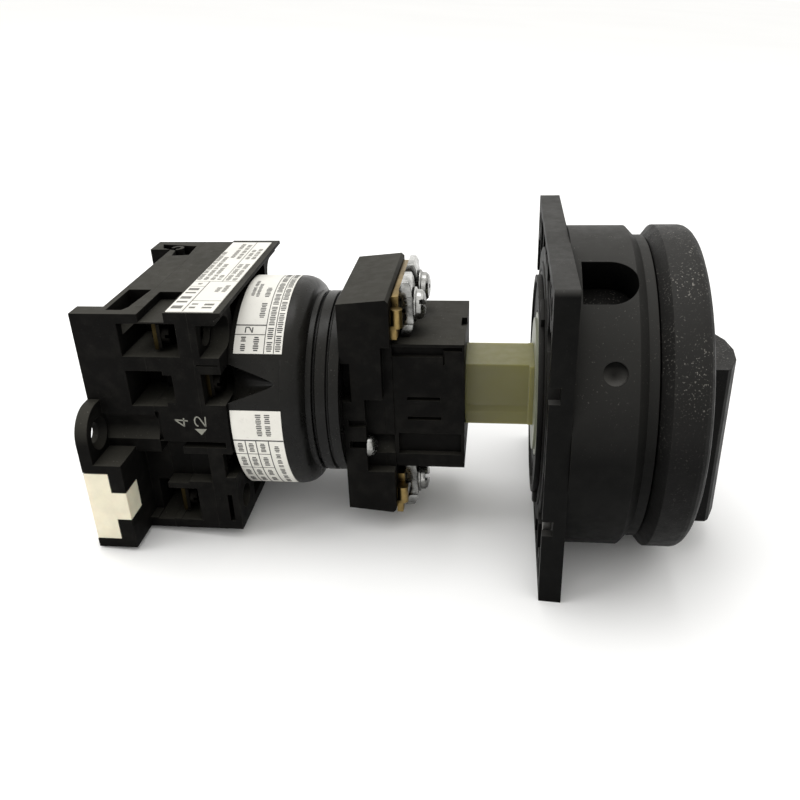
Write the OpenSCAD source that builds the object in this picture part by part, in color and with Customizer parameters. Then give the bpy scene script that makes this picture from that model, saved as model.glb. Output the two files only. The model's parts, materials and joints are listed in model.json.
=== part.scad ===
// Rotary cam switch with rail foot, extension shaft and padlockable door handle.
// Origin on the shaft axis at the rear mounting plane, +X towards the knob, +Z up.

/* [Switch block] */
// Width of the moulded block, across the shaft
block_w = 46.4; // [44:0.2:50]
// Height of the moulded block
block_h = 48.2; // [47:0.2:52]
// Length of the rail foot along the shaft
foot_len = 13.4; // [12.6:0.2:18]
// Length of the first contact chamber
chamber_1_len = 9.6; // [8.4:0.2:14]
// Length of the second contact chamber
chamber_2_len = 5.1; // [4.8:0.1:10]
// Thickness of the wall behind the contacts of the first chamber
chamber_1_back = 1.5; // [1:0.1:2]
// Thickness of the wall behind the contacts of the second chamber
chamber_2_back = 1; // [0.8:0.1:1.2]
// Thickness of the outer walls of the contact chambers
chamber_wall = 2; // [1.4:0.1:2.4]

/* [Rail foot] */
// Width of the channel for the 35 mm rail
rail_channel_w = 36.4; // [35.8:0.1:37]
// Depth of the rail channel
rail_channel_depth = 5.3; // [4.6:0.1:6]
// Thickness of the wall on the slider side of the channel
near_wall = 3.9; // [3:0.1:4.6]
// Distance between the two fixing screws
fixing_pitch = 52; // [50:0.5:56]
// Diameter of the fixing holes
fixing_hole_d = 4.2; // [3.4:0.1:4.6]
// Diameter of the countersinks of the fixing holes
fixing_sink_d = 6.7; // [5.6:0.1:7.2]
// Radius of the rounded screw ears
ear_r = 6; // [5.2:0.1:7]
// Thickness of the screw ears
ear_t = 2.5; // [1.8:0.1:3.2]
// Radius of the troughs that give the screwdriver room
trough_r = 3.9; // [3.4:0.1:4.4]

/* [Rail slider] */
// Height of the slider along the rail
slider_h = 15.4; // [14:0.1:16.4]
// Height of the slider's middle below the shaft axis
slider_drop = 14.1; // [13.6:0.1:14.4]
// Thickness of the slider
slider_t = 5; // [4.4:0.1:5.2]
// Reach of the slider's nose under the rail
nose_reach = 1.6; // [1:0.1:2.2]
// Height of the thumb tab on the slider
slider_tab_h = 6.3; // [4:0.1:8]
// Travel that frees the rail
slider_travel = 4; // [2.5:0.1:4.5]

/* [Contacts] */
// Distance from the shaft axis to the terminal screws of the first chamber
row_1_z = 18.6; // [18.4:0.1:18.8]
// Distance from the shaft axis to the terminal screws of the second chamber
row_2_z = 8.6; // [8.2:0.1:9]
// Distance from the middle to the terminal screws, across the shaft
terminal_y = 18.4; // [18:0.1:18.8]
// Thickness of the brass contact strips
strip_t = 0.8; // [0.6:0.1:1]
// Diameter of the terminal screws' shanks
terminal_screw_d = 3; // [2.5:0.1:3.2]
// Travel of the contact plungers
contact_travel = 2; // [1.2:0.1:2.2]
// Height of the fixed contacts above the shaft axis
fixed_contact_z = 15.4; // [15:0.1:15.6]
// Distance from the middle to the contact tips
contact_y = 6.6; // [6:0.1:7.2]
// Width of the plunger stems
plunger_w = 5; // [4:0.1:5.4]

/* [Rotor] */
// Largest radius of the cams
cam_r = 9; // [8.4:0.1:9.2]
// Side of the square spindle
spindle_side = 6; // [5:0.1:6.6]
// Number of latch notches in one turn
latch_notches = 4; // [4:4:8]
// Outer radius of the latch star
star_r = 9; // [7:0.2:10]
// Depth of the notches in the latch star
notch_depth = 1.6; // [1:0.1:2]

/* [Latch drum] */
// Radius of the drum
drum_r = 22.7; // [22:0.1:23.4]
// Length of the straight part of the drum
drum_len = 11.4; // [10.6:0.2:16]
// Length of the rounded nose of the drum
drum_nose_len = 4.5; // [3:0.1:6]
// Radius of the cap in front of the drum
cap_r = 19.5; // [18.8:0.1:20]
// Length of the cap
cap_len = 5.5; // [4.6:0.1:8]

/* [Front block] */
// Length of the front block along the shaft
head_len = 10.1; // [9.4:0.1:14]
// Width of the front block
head_w = 30; // [28:0.5:34]
// Height of the front block's wings above the shaft axis, at the back
wing_z = 23.2; // [22.4:0.1:25]
// Rise of the wings towards the front
wing_rise = 0.9; // [0:0.1:2]
// Length of the shaft tower
tower_len = 14.4; // [13:0.2:20]
// Width of the shaft tower
tower_w = 24.6; // [22:0.2:26]
// Height of the shaft tower
tower_h = 28.5; // [27:0.1:28.8]
// Distance between the bus screws
bus_screw_pitch = 10.8; // [9:0.2:11.4]
// Height of the bus screws above the shaft axis
bus_screw_z = 19.8; // [19.6:0.1:20.2]
// Thickness of the brass bus bars
bus_bar_t = 1.4; // [1:0.1:2]
// Diameter of the bus screws' heads
bus_head_d = 6.4; // [5:0.1:7]

/* [Extension shaft] */
// Height of the shaft's section
shaft_h = 13.4; // [12:0.1:14]
// Width of the shaft's section
shaft_w = 12; // [11:0.1:12.6]
// Free length between the tower and the collar of the shaft
shaft_free_len = 13; // [11:0.5:40]
// Thickness of the shaft's collar
shaft_collar_t = 1.3; // [0.8:0.1:2]
// Length of the shaft's end in the handle
shaft_tip_len = 9; // [6:0.5:9.5]

/* [Door plate] */
// Side of the square door plate
plate_side = 65; // [62:0.5:75]
// Thickness of the door plate
plate_t = 4.3; // [3.6:0.1:6]
// Distance between the holes for the door screws
plate_hole_pitch = 55; // [53:0.5:56.5]
// Diameter of the holes for the door screws
plate_hole_d = 4.4; // [3.2:0.1:4.8]
// Depth of the relief at the back of the plate
plate_relief = 2.2; // [1:0.1:2.4]

/* [Lock collar] */
// Outer radius of the lock collar
collar_r = 33.08; // [32.6:0.1:34]
// Length of the full part of the lock collar
collar_len = 11.3; // [11:0.1:13]
// Radius of the neck between the collar and the knob
neck_r = 31.2; // [30.8:0.1:32.2]
// Length of the chamfer and of the neck, each
neck_len = 1.8; // [1:0.1:2.4]
// Angle of the padlock openings from the top
lock_angle = 30; // [26:1:32]
// Width of the padlock openings
lock_w = 10; // [7:0.1:10.4]
// Angle of the drill points from the top
drill_angle = 60.7; // [56:0.1:70]

/* [Handle] */
// Radius of the knob
knob_r = 33.2; // [32:0.1:34]
// Length of the knob without its grip
knob_len = 9.2; // [8:0.2:14]
// Outer radius of the knob's inner drum
inner_drum_r = 25.4; // [24.8:0.1:25.6]
// Width of the grip
grip_w = 20; // [16:0.5:24]
// Height of the grip's top end above the shaft axis
grip_top = 8.5; // [4:0.5:16]
// Depth of the grip's lower end below the shaft axis
grip_drop = 27; // [20:0.5:28]
// Height of the grip above the knob's face, at its sides
grip_rise = 7.6; // [5:0.2:12]
// Additional height of the grip at its middle
grip_crown = 2.4; // [1:0.1:4]

/* [Fits] */
// Gap between moulded parts that slide in each other
slide_gap = 0.2; // [0.1:0.05:0.3]
// Radial gap of the turning bearings
bearing_gap = 0.06; // [0.03:0.01:0.1]
// Gap between the cams and the plunger tips
cam_gap = 0.35; // [0.3:0.05:0.5]
// Gap that is left between closed contacts
contact_gap = 0.15; // [0.1:0.05:0.3]
// Radial gap round the screws' shanks
screw_gap = 0.1; // [0.05:0.05:0.2]

/* [Hidden] */
$fn = 48;
over = 1;
half_w = block_w / 2;
half_h = block_h / 2;

// Stations along the shaft
chamber_1_x = foot_len;
chamber_2_x = chamber_1_x + chamber_1_len;
drum_x = chamber_2_x + chamber_2_len;
drum_nose_x = drum_x + drum_len;
cap_x = drum_nose_x + drum_nose_len;
head_x = cap_x + cap_len;
tower_x = head_x + head_len;
tower_end_x = tower_x + tower_len;
shaft_collar_x = tower_end_x + shaft_free_len;
shaft_tip_x = shaft_collar_x + shaft_collar_t;
disc_x = shaft_tip_x - 0.3;
disc_t = 1.2;
plate_x = disc_x + disc_t + slide_gap;
collar_x = plate_x + plate_t;
neck_x = collar_x + collar_len;
collar_end_x = neck_x + 2 * neck_len;
knob_x = collar_end_x + 0.3;
knob_face_x = knob_x + knob_len;

// Rail foot
rail_near_y = -half_w + near_wall;
rail_far_y = rail_near_y + rail_channel_w;
fixing_y = fixing_pitch / 2;
ear_y = fixing_y - 0.9;
ear_edge_y = ear_y + ear_r;
front_lip_x = 1.6;
front_lip_z = 1.2;
slider_house_top = 4.5;
slider_house_x = 8.1;
slider_house_bottom = half_h - 0.2;

// Rail slider and its spring pocket
slider_x = 0.1;
slider_top_z = -slider_drop + slider_h / 2;
slider_bottom_z = -slider_drop - slider_h / 2;
slider_tab_z = slider_drop - 0.2;
slider_tab_len = 5.3;
slider_front_x = slider_x + slider_t;
slider_pocket_z = [slider_top_z - 4, slider_top_z - 0.8];
slider_pocket_depth = 2.8;
slider_peg_t = 1.2;
slider_peg_play = 0.15;
slider_spring_r = 1;
slider_wire = 0.4;
slider_turns = 6;
slider_spring_y = -ear_edge_y + 1.8 + slider_peg_play + slider_peg_t;
slider_spring_len = slider_travel + (slider_turns + 1) * slider_wire;
slider_pocket_y = [-ear_edge_y + 1.8, slider_spring_y + slider_spring_len];

// Contact chambers: [back of the contacts, front end, terminal row, depth]
chamber_1_in = chamber_1_x + chamber_1_back;
chamber_2_in = chamber_2_x + chamber_2_back;
cam_room_r = cam_r + 1.2;
guide_w = plunger_w + 2 * slide_gap;
contact_room_y = 13;
contact_room_z = fixed_contact_z - 2.2;
contact_top_z = half_h - chamber_wall;
tip_t = 0.5;
tip_r = 1.1;
bridge_t = 0.8;
closed_tip_z = fixed_contact_z + tip_t + contact_gap;
bridge_z = closed_tip_z + tip_t + contact_travel;
bridge_top_z = bridge_z + bridge_t;
plunger_tip_z = cam_r + cam_gap;
plunger_tip_r = 1.5;
mechanism_1_x = (chamber_1_in + chamber_2_x) / 2;
mechanism_2_x = (chamber_2_in + drum_x) / 2;
mechanism_1_w = chamber_1_len - chamber_1_back - 1.3;
mechanism_2_w = chamber_2_len - chamber_2_back - 1.3;
entry_wall = 2;
chamber_screw_y = 16;
chamber_screw_r = 1.3;
chamber_screw_bite = 4;
chamber_screw_sink = 2.1;
marker_x = chamber_1_x + 5.1;
marker_rise = 0.3;
entry_1 = [15.4, 22.2];
entry_2 = [4.8, 12.4];

// Rotor
cam_low_r = cam_r - contact_travel;
journal_r = 3;
journal_x = rail_channel_depth + 2;
spindle_hole_r = spindle_side * sqrt(2) / 2 + 0.4;
shaft_round_r = 8.4;
shaft_socket_x = tower_x + 1.4;
spindle_end_x = tower_end_x - 2;
shaft_tip_side = 10;
star_x = [drum_x + 4.9, drum_x + 10.3];

// Latches in the drum
drum_room_r = 18.2;
latch_w = 6;
latch_nose_y = star_r + 0.35;
latch_back_y = latch_nose_y + 5.2;

// Front block
head_bore_r = shaft_round_r + bearing_gap;
tower_top_z = tower_h / 2 - 0.25;
tower_bottom_z = tower_top_z - tower_h;
lower_bus_drop = 0.8;
saddle_t = 1.1;
bus_bar_y = 13.4;
saddle_x = tower_x + bus_bar_t;

// Door side
hub_r = 10;
disc_r = 27.3;
drum_gap = 0.3;
collar_bore_r = inner_drum_r + drum_gap;
knob_tube_r = inner_drum_r - 1.6;
knob_room_r = 18.4;
drive_screw_ring_r = 21;
plate_screw_ring_r = (collar_bore_r + collar_r) / 2;
plate_screw_angle = 48;
front_r = knob_r - 3.2;

function mean(range) = (range[0] + range[1]) / 2;

// Block between two corners, each side given as [low, high]
module box(x, y, z)
    translate([x[0], y[0], z[0]])
        cube([x[1] - x[0], y[1] - y[0], z[1] - z[0]]);

// Round bar along the shaft
module rod_x(x0, x1, r)
    translate([x0, 0, 0])
        rotate([0, 90, 0])
            cylinder(r = r, h = x1 - x0);

// Cone along the shaft
module cone_x(x0, x1, r0, r1)
    translate([x0, 0, 0])
        rotate([0, 90, 0])
            cylinder(r1 = r0, r2 = r1, h = x1 - x0);

// Extrudes an outline drawn as (Y, Z) along the shaft
module along_x(x0, x1)
    translate([x0, 0, 0])
        rotate([90, 0, 90])
            linear_extrude(x1 - x0)
                children();

// Extrudes an outline drawn as (X, Z) across the shaft
module along_y(y0, y1)
    translate([0, y1, 0])
        rotate([90, 0, 0])
            linear_extrude(y1 - y0)
                children();

// Turns an outline drawn as (radius, X) about the shaft axis
module turned()
    rotate([0, 90, 0])
        rotate_extrude()
            children();

// Rectangle from ranges
module rect(a, b)
    translate([a[0], b[0]])
        square([a[1] - a[0], b[1] - b[0]]);

module near_and_far() {
    children();
    mirror([0, 1, 0])
        children();
}

module upper_and_lower() {
    children();
    mirror([0, 0, 1])
        children();
}

module four_corners()
    near_and_far()
        upper_and_lower()
            children();

// Screw along the shaft with a slotted head, its seat at x
module slotted_screw(x, head_r, head_t, shank_r, shank_len) {
    difference() {
        rod_x(x, x + head_t, head_r);
        box([x + head_t * 0.5, x + head_t + over], [-head_r - over, head_r + over], [-0.35, 0.35]);
    }
    rod_x(x - shank_len, x + 0.01, shank_r);
}

// Helical spring along +Z, drawn as a chain of short bars round the coil
function coil_point(r, length, turns, t) =
    [r * cos(360 * turns * t), r * sin(360 * turns * t), length * t];

function coil_ring(r, wire, length, turns, t, sides) =
    let (
        c = coil_point(r, length, turns, t),
        a = 360 * turns * t
    )
    [for (k = [0 : sides - 1])
        let (b = 360 * k / sides)
        c + wire / 2 * (cos(b) * [cos(a), sin(a), 0] + sin(b) * [0, 0, 1])];

module coil(r, wire, length, turns, steps_per_turn = 10, sides = 5) {
    steps = ceil(turns * steps_per_turn);
    rise = length - wire;
    points = [for (i = [0 : steps])
        each coil_ring(r, wire, rise, turns, i / steps, sides)];
    start_cap = [[for (k = [sides - 1 : -1 : 0]) k]];
    end_cap = [[for (k = [0 : sides - 1]) steps * sides + k]];
    walls = [for (i = [0 : steps - 1], k = [0 : sides - 1])
        let (a = i * sides + k, b = i * sides + (k + 1) % sides)
        [a, b, b + sides, a + sides]];
    translate([0, 0, wire / 2])
        polyhedron(points, concat(start_cap, walls, end_cap), convexity = 6);
}

// Rounded rectangle as a union of bars and round corners
module rounded_rect(a, b, r) {
    rect([a[0] + r, a[1] - r], b);
    rect(a, [b[0] + r, b[1] - r]);
    for (u = [a[0] + r, a[1] - r], v = [b[0] + r, b[1] - r])
        translate([u, v])
            circle(r);
}

// Rail foot: block with rail channel, screw ears, slider housing and wire entries
module ear_outline() {
    translate([-ear_y, 0])
        circle(ear_r);
    rect([-ear_y, -half_w + 0.5], [-ear_r, ear_r]);
}

module slider_house() {
    along_x(0, ear_t) {
        ear_outline();
        rect([-ear_edge_y, -half_w + 0.5], [-slider_house_bottom, 0]);
    }
    box([0.2, slider_house_x], [-ear_edge_y, -half_w + 0.5], [-slider_house_bottom, -slider_house_top]);
}

module slider_slot() {
    box([-over, slider_front_x + slide_gap], [-ear_edge_y - over, rail_near_y + over],
        [slider_bottom_z - slide_gap, slider_top_z + slide_gap]);
    box([slider_front_x, slider_house_x + over], [-ear_edge_y - over, -ear_edge_y + slider_tab_len + slide_gap],
        [-slider_tab_z - slider_tab_h / 2 - slide_gap, -slider_tab_z + slider_tab_h / 2 + slide_gap]);
}

module fixing_hole() {
    rod_x(-over, ear_t + over, fixing_hole_d / 2);
    cone_x(ear_t - (fixing_sink_d - fixing_hole_d) / 2, ear_t + 0.01, fixing_hole_d / 2, fixing_sink_d / 2);
    rod_x(ear_t, chamber_1_x + over, trough_r);
}

module rail_hook()
    translate([0, 0, -half_h + 6])
        linear_extrude(block_h - 12)
            polygon([
                [0.45, rail_far_y + 0.5],
                [0.45, rail_far_y - 0.6],
                [1.6, rail_far_y - 1.3],
                [rail_channel_depth - 1.9, rail_far_y - 1.3],
                [rail_channel_depth - 1.9, rail_far_y + 0.5]
            ]);

module lug_pocket()
    translate([0, 0, half_h - 7])
        linear_extrude(7 + over)
            difference() {
                polygon([
                    [2.1, rail_far_y + 4],
                    [foot_len - 2.8, rail_far_y + 2.6],
                    [foot_len - 2.4, rail_far_y - 4],
                    [rail_channel_depth + 1.9, rail_far_y - 4.6],
                    [rail_channel_depth + 1.4, rail_far_y - 0.8],
                    [3.2, rail_far_y + 1]
                ]);
                translate([rail_channel_depth + 1.2, rail_far_y + 1.3])
                    difference() {
                        circle(1.5);
                        circle(0.7);
                        rect([-2, 0], [-2, 0]);
                    }
            }

module foot_pocket()
    translate([0, 0, half_h - 5])
        linear_extrude(5 + over)
            polygon([
                [rail_channel_depth + 1.2, rail_near_y - 1.8],
                [rail_channel_depth + 4.3, rail_near_y - 1.8],
                [rail_channel_depth + 5.1, rail_near_y - 0.3],
                [foot_len - 2.2, rail_near_y + 9.5],
                [rail_channel_depth + 1.2, rail_near_y + 9.5]
            ]);

module foot_entries() {
    box([9, foot_len + over], [-half_w - over, -10.5], entry_1);
    box([9, foot_len + over], [-half_w - over, -12.5], entry_2);
    box([9.8, foot_len + over], [-half_w - over, -10.5], [-entry_1[1], -entry_1[0] + 1]);
}

// Peg on the foot that the slider's spring pushes against
module spring_peg()
    box([slider_front_x - slider_pocket_depth + slide_gap, slider_front_x + 1],
        [slider_spring_y - slider_peg_t, slider_spring_y],
        [slider_pocket_z[0] + slide_gap, slider_pocket_z[1] - slide_gap]);

module mounting_base()
    color("#3a3936") {
        foot_body();
        spring_peg();
    }

module foot_body()
    difference() {
        union() {
            difference() {
                box([0, foot_len], [-half_w, half_w], [-half_h, half_h]);
                box([-over, rail_channel_depth], [rail_near_y, rail_far_y], [-half_h - over, half_h + over]);
                box([-over, 0.45], [rail_far_y - over, half_w + over], [-half_h - over, half_h + over]);
            }
            slider_house();
            mirror([0, 1, 0])
                along_x(0, ear_t)
                    ear_outline();
            rail_hook();
        }
        slider_slot();
        for (side = [-1, 1])
            translate([0, side * fixing_y, 0])
                fixing_hole();
        lug_pocket();
        foot_pocket();
        near_and_far()
            foot_entries();
        near_and_far()
            box([slider_house_x, foot_len + over], [-half_w - over, -half_w + 3.6], [-21.9, -5.6]);
        box([foot_len - front_lip_x, foot_len + over], [-half_w + 3.7, half_w + over],
            [half_h - front_lip_z, half_h + over]);
        rod_x(journal_x, foot_len + over, journal_r + bearing_gap);
        chamber_screw_paths(screw_gap);
    }

module chamber_screw_paths(gap)
    for (side = [-1, 1])
        translate([0, side * chamber_screw_y, 0]) {
            rod_x(foot_len - chamber_screw_bite, drum_x + over, chamber_screw_r + gap);
            rod_x(drum_x - chamber_screw_sink, drum_x + over, chamber_screw_r * 1.9 + gap);
        }

// Cream slider that locks the foot on its rail, with the pocket for its spring
module rail_slider()
    color("#efe8d0")
    difference() {
        union() {
            box([slider_x, slider_front_x], [-ear_edge_y, rail_near_y - 0.2], [slider_bottom_z, slider_top_z]);
            box([slider_front_x - 0.01, slider_house_x], [-ear_edge_y, -ear_edge_y + slider_tab_len],
                [-slider_tab_z - slider_tab_h / 2, -slider_tab_z + slider_tab_h / 2]);
            translate([0, 0, slider_bottom_z])
                linear_extrude(slider_h)
                    polygon([
                        [slider_x, rail_near_y - 0.3],
                        [slider_x, rail_near_y + 0.4],
                        [slider_x + 1.4, rail_near_y + nose_reach],
                        [rail_channel_depth - 1.6, rail_near_y + nose_reach],
                        [rail_channel_depth - 1.6, rail_near_y - 0.3]
                    ]);
        }
        box([slider_front_x - slider_pocket_depth, slider_front_x + over], slider_pocket_y, slider_pocket_z);
    }

module slider_spring()
    color("silver")
    translate([slider_front_x - slider_pocket_depth / 2, slider_spring_y, mean(slider_pocket_z)])
        rotate([-90, 0, 0])
            coil(slider_spring_r, slider_wire, slider_spring_len, slider_turns);

// Contact chambers
module chamber_block(x0, x1)
    box([x0, x1], [-half_w, half_w], [-half_h, half_h]);

module mechanism_room() {
    circle(cam_room_r);
    rect([-guide_w / 2, guide_w / 2], [-contact_top_z, contact_top_z]);
    for (side = [-1, 1])
        rect([-contact_room_y, contact_room_y],
            side > 0 ? [contact_room_z, contact_top_z] : [-contact_top_z, -contact_room_z]);
}

module terminal_room(z)
    four_corners()
        box([0, 40], [-half_w + entry_wall, -contact_room_y + over], z);

// Side panel of the first chamber with its entries, shelf and recesses
module chamber_1_side() {
    box([chamber_1_x - over, chamber_1_in + 5.6], [-half_w - over, -contact_room_y], entry_1);
    box([chamber_1_x - over, chamber_1_x + 3], [-half_w - over, -14.5], entry_2);
    translate([0, -half_w + 2.4, entry_2[1] - 3.8])
        rod_x(chamber_1_x - over, chamber_1_x + 4.8, 3.8);
    box([chamber_1_x - over, chamber_1_x + 0.9], [-half_w - over, -half_w + 0.8], [-3, 3.6]);
    box([chamber_1_x - over, chamber_2_x + over], [-half_w - over, -half_w + 2.2], [-4.45, -3.1]);
    box([chamber_1_x - over, chamber_1_x + 4.6], [-half_w - over, -half_w + 3.6], [-13, -4.4]);
    box([chamber_1_x + 4.5, chamber_2_x + over], [-half_w - over, -half_w + 3], [-12.6, -5.9]);
    box([chamber_1_x - over, chamber_1_in + over], [-half_w - over, -contact_room_y], [-22, -14.3]);
}

module contact_chamber_1()
    color("#3a3936")
    difference() {
        union() {
            chamber_block(chamber_1_x, chamber_2_x);
            box([marker_x, chamber_2_x], [-half_w, half_w], [half_h - over, half_h + marker_rise]);
            box([foot_len - front_lip_x, chamber_1_x + 0.5], [-half_w + 3.8, half_w],
                [half_h - front_lip_z, half_h]);
        }
        along_x(chamber_1_in, chamber_2_x + over)
            mechanism_room();
        four_corners()
            box([chamber_1_in, chamber_2_x + over], [-half_w + entry_wall, -contact_room_y + over],
                [entry_1[0], contact_top_z]);
        chamber_1_side();
        mirror([0, 1, 0])
            chamber_1_side();
        near_and_far()
            box([chamber_1_in, chamber_1_in + 4.6], [-half_w - over, -contact_room_y],
                [-contact_top_z, -14.3]);
        box([chamber_1_x, chamber_1_x + 5.1], [-half_w - over, -half_w + 12.2],
            [half_h - 1.6, half_h + over]);
        rod_x(chamber_1_x - over, chamber_1_in + over, spindle_hole_r);
        terminal_bores(chamber_1_in, row_1_z);
        chamber_screw_paths(screw_gap);
    }

module terminal_bores(x, z)
    four_corners()
        translate([0, -terminal_y, z])
            rod_x(x - 0.8, x + 0.01, terminal_screw_d / 2 + screw_gap);

// Trough for the screwdriver, open to the side of the block
module driver_trough(x0, x1, z, r) {
    translate([0, -terminal_y, z])
        rod_x(x0, x1, r);
    box([x0, x1], [-half_w - over, -terminal_y], [z - r, z + r]);
}

module chamber_2_side() {
    driver_trough(chamber_2_x + 1.4, drum_x + 2, row_1_z, 3.3);
    driver_trough(chamber_2_in + 2, drum_x + over, -row_2_z, 2.8);
    upper_and_lower()
        translate([0, -terminal_y, row_1_z])
            rod_x(chamber_2_x - over, drum_x + over, 2.6);
    box([chamber_2_in, drum_x + over], [-half_w - over, -contact_room_y], [row_2_z - 3.4, row_2_z + 3.3]);
    box([chamber_2_x - over, chamber_2_x + 4], [-half_w - over, -half_w + 2.2], [-4.45, -3.1]);
    box([chamber_2_x + 2.7, chamber_2_x + 3.7], [-half_w - over, -half_w + 2], [-22.1, -15.6]);
    box([chamber_2_x + 0.4, chamber_2_x + 4.7], [-half_w - over, -half_w + 0.5], [13.55, 13.85]);
}

// Raised top of the second chamber, which reaches over the drum
module marker_lip()
    along_y(-half_w, half_w)
        polygon([
            [chamber_2_x, half_h - over],
            [chamber_2_x, half_h + marker_rise],
            [drum_x + 1.4, half_h + marker_rise],
            [drum_x + 1.4, half_h - 0.4],
            [drum_x + 0.7, half_h - 0.7],
            [drum_x, half_h - 1.2]
        ]);

module contact_chamber_2()
    color("#3a3936")
    difference() {
        union() {
            chamber_block(chamber_2_x, drum_x);
            marker_lip();
        }
        along_x(chamber_2_in, drum_x + over)
            mechanism_room();
        four_corners()
            box([chamber_2_in, drum_x + over], [-half_w + entry_wall, -contact_room_y + 2],
                [row_2_z - 3.4, row_2_z + 3.4]);
        four_corners()
            box([chamber_2_in, drum_x + over], [-contact_room_y - 1.4, -contact_room_y + 2],
                [row_2_z, fixed_contact_z + 0.2]);
        chamber_2_side();
        mirror([0, 1, 0])
            chamber_2_side();
        rod_x(chamber_2_x - over, chamber_2_in + over, spindle_hole_r);
        terminal_bores(chamber_2_in, row_2_z);
        chamber_screw_paths(screw_gap);
    }

module marker_label()
    color("#d9d6cc")
    box([marker_x + 0.45, drum_x], [-half_w + 0.4, half_w - 2],
        [half_h + marker_rise, half_h + marker_rise + 0.15]);

// Fixed contacts: terminal plate, riser and folded ear with its tip
module strip(x, row_z, riser_y, width)
    difference() {
        union() {
            along_x(x, x + strip_t) {
                rect([-terminal_y - 2.5, riser_y[1]], [row_z - 2.7, row_z + 2.7]);
                rect(riser_y, [min(row_z - 2.7, fixed_contact_z - 2), max(row_z + 2.7, fixed_contact_z)]);
                rect([riser_y[0], -contact_y + 2], [fixed_contact_z - 2, fixed_contact_z]);
            }
            box([x, x + width], [-contact_y - 2, -contact_y + 2], [fixed_contact_z - strip_t, fixed_contact_z]);
        }
        translate([0, -terminal_y, row_z])
            rod_x(x - over, x + strip_t + over, terminal_screw_d / 2 + screw_gap);
    }

module fixed_tip(x)
    translate([x, -contact_y, fixed_contact_z - 0.01])
        cylinder(r = tip_r, h = tip_t + 0.01);

module terminal_strips(x, row_z, riser_y, width, tip_x)
    color("#a8894f")
    four_corners() {
        strip(x, row_z, riser_y, width);
        fixed_tip(tip_x);
    }

module terminal_strips_1()
    terminal_strips(chamber_1_in, row_1_z, [-contact_room_y + 0.3, -contact_y - 3],
        mechanism_1_x + 2 - chamber_1_in, mechanism_1_x);

module terminal_strips_2()
    terminal_strips(chamber_2_in, row_2_z, [-contact_room_y - 1.2, -contact_room_y + 1.8],
        chamber_2_len - chamber_2_back - 0.4, mechanism_2_x);

// Terminal screws, each with a square clamp washer
module terminal_screws(x, z, head_t)
    color("#b9b9b4")
    four_corners()
        translate([0, -terminal_y, z]) {
            difference() {
                box([x, x + 0.7], [-2.5, 2.5], [-2.5, 2.5]);
                rod_x(x - over, x + 1 + over, terminal_screw_d / 2 + screw_gap);
            }
            slotted_screw(x + 0.7, 2.4, head_t, terminal_screw_d / 2, 0.7 + strip_t + 0.6);
        }

module terminal_screws_1()
    terminal_screws(chamber_1_in + strip_t, row_1_z, 1.6);

module terminal_screws_2()
    terminal_screws(chamber_2_in + strip_t, row_2_z, 1.2);

// Long screws that hold the chambers on the foot
module chamber_screws()
    color("#8c8c88")
    for (side = [-1, 1])
        translate([0, side * chamber_screw_y, 0])
            slotted_screw(drum_x - chamber_screw_sink, chamber_screw_r * 1.9, chamber_screw_sink - 0.3,
                chamber_screw_r, drum_x - chamber_screw_sink - foot_len + chamber_screw_bite - 0.4);

// Cam: radius falls evenly over a quarter turn and rises again over the next
function cam_radius(a) =
    let (part = abs(((a % 180) + 180) % 180 - 90) / 90)
    cam_low_r + (cam_r - cam_low_r) * part;

cam_step = 5;

module cam_outline()
    polygon([for (a = [0 : cam_step : 360 - cam_step])
        cam_radius(a) * [-sin(a), cos(a)]]);

module cam_disc(x, w)
    color("#cfcabb")
    difference() {
        union() {
            along_x(x - w / 2, x + w / 2)
                cam_outline();
            rod_x(x - w / 2 - 0.35, x + w / 2 + 0.35, spindle_hole_r + 0.9);
        }
        spindle_square(x - w, x + w, 0.05);
    }

module cam_disc_1()
    cam_disc(mechanism_1_x, mechanism_1_w);

module cam_disc_2()
    cam_disc(mechanism_2_x, mechanism_2_w);

module spindle_square(x0, x1, gap)
    box([x0, x1], [-spindle_side / 2 - gap, spindle_side / 2 + gap],
        [-spindle_side / 2 - gap, spindle_side / 2 + gap]);

module cam_spindle()
    color("#9a9a96") {
        rod_x(journal_x + 0.3, foot_len + 0.6, journal_r);
        spindle_square(foot_len + 0.5, spindle_end_x, 0);
    }

// Plunger that follows the cam and carries the bridge, its guide boss on top
module plunger(x, w)
    color("#c9402f") {
        translate([x, 0, plunger_tip_z + plunger_tip_r])
            rotate([0, 90, 0])
                cylinder(r = plunger_tip_r, h = w, center = true);
        box([x - w / 2, x + w / 2], [-plunger_tip_r, plunger_tip_r],
            [plunger_tip_z + plunger_tip_r, cam_room_r + 1.6]);
        box([x - w / 2, x + w / 2], [-plunger_w / 2, plunger_w / 2],
            [cam_room_r + 1.5, bridge_z]);
        translate([x, 0, bridge_z - 0.01])
            cylinder(r = 0.7, h = bridge_t + 0.8);
    }

module plunger_1_upper()
    plunger(mechanism_1_x, mechanism_1_w);

module plunger_1_lower()
    mirror([0, 0, 1])
        plunger(mechanism_1_x, mechanism_1_w);

module plunger_2_upper()
    plunger(mechanism_2_x, mechanism_2_w);

module plunger_2_lower()
    mirror([0, 0, 1])
        plunger(mechanism_2_x, mechanism_2_w);

// Contact bridge with a tip at each end
module bridge(x, w)
    color("#b08d4c")
    difference() {
        union() {
            box([x - w / 2 + 0.1, x + w / 2 - 0.1], [-contact_y - 1.5, contact_y + 1.5],
                [bridge_z, bridge_top_z]);
            for (side = [-1, 1])
                translate([x, side * contact_y, bridge_z - tip_t])
                    cylinder(r = tip_r, h = tip_t + 0.01);
        }
        translate([x, 0, bridge_z - over])
            cylinder(r = 0.75, h = bridge_t + 2 * over);
    }

module bridge_1_upper()
    bridge(mechanism_1_x, mechanism_1_w);

module bridge_1_lower()
    mirror([0, 0, 1])
        bridge(mechanism_1_x, mechanism_1_w);

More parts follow.
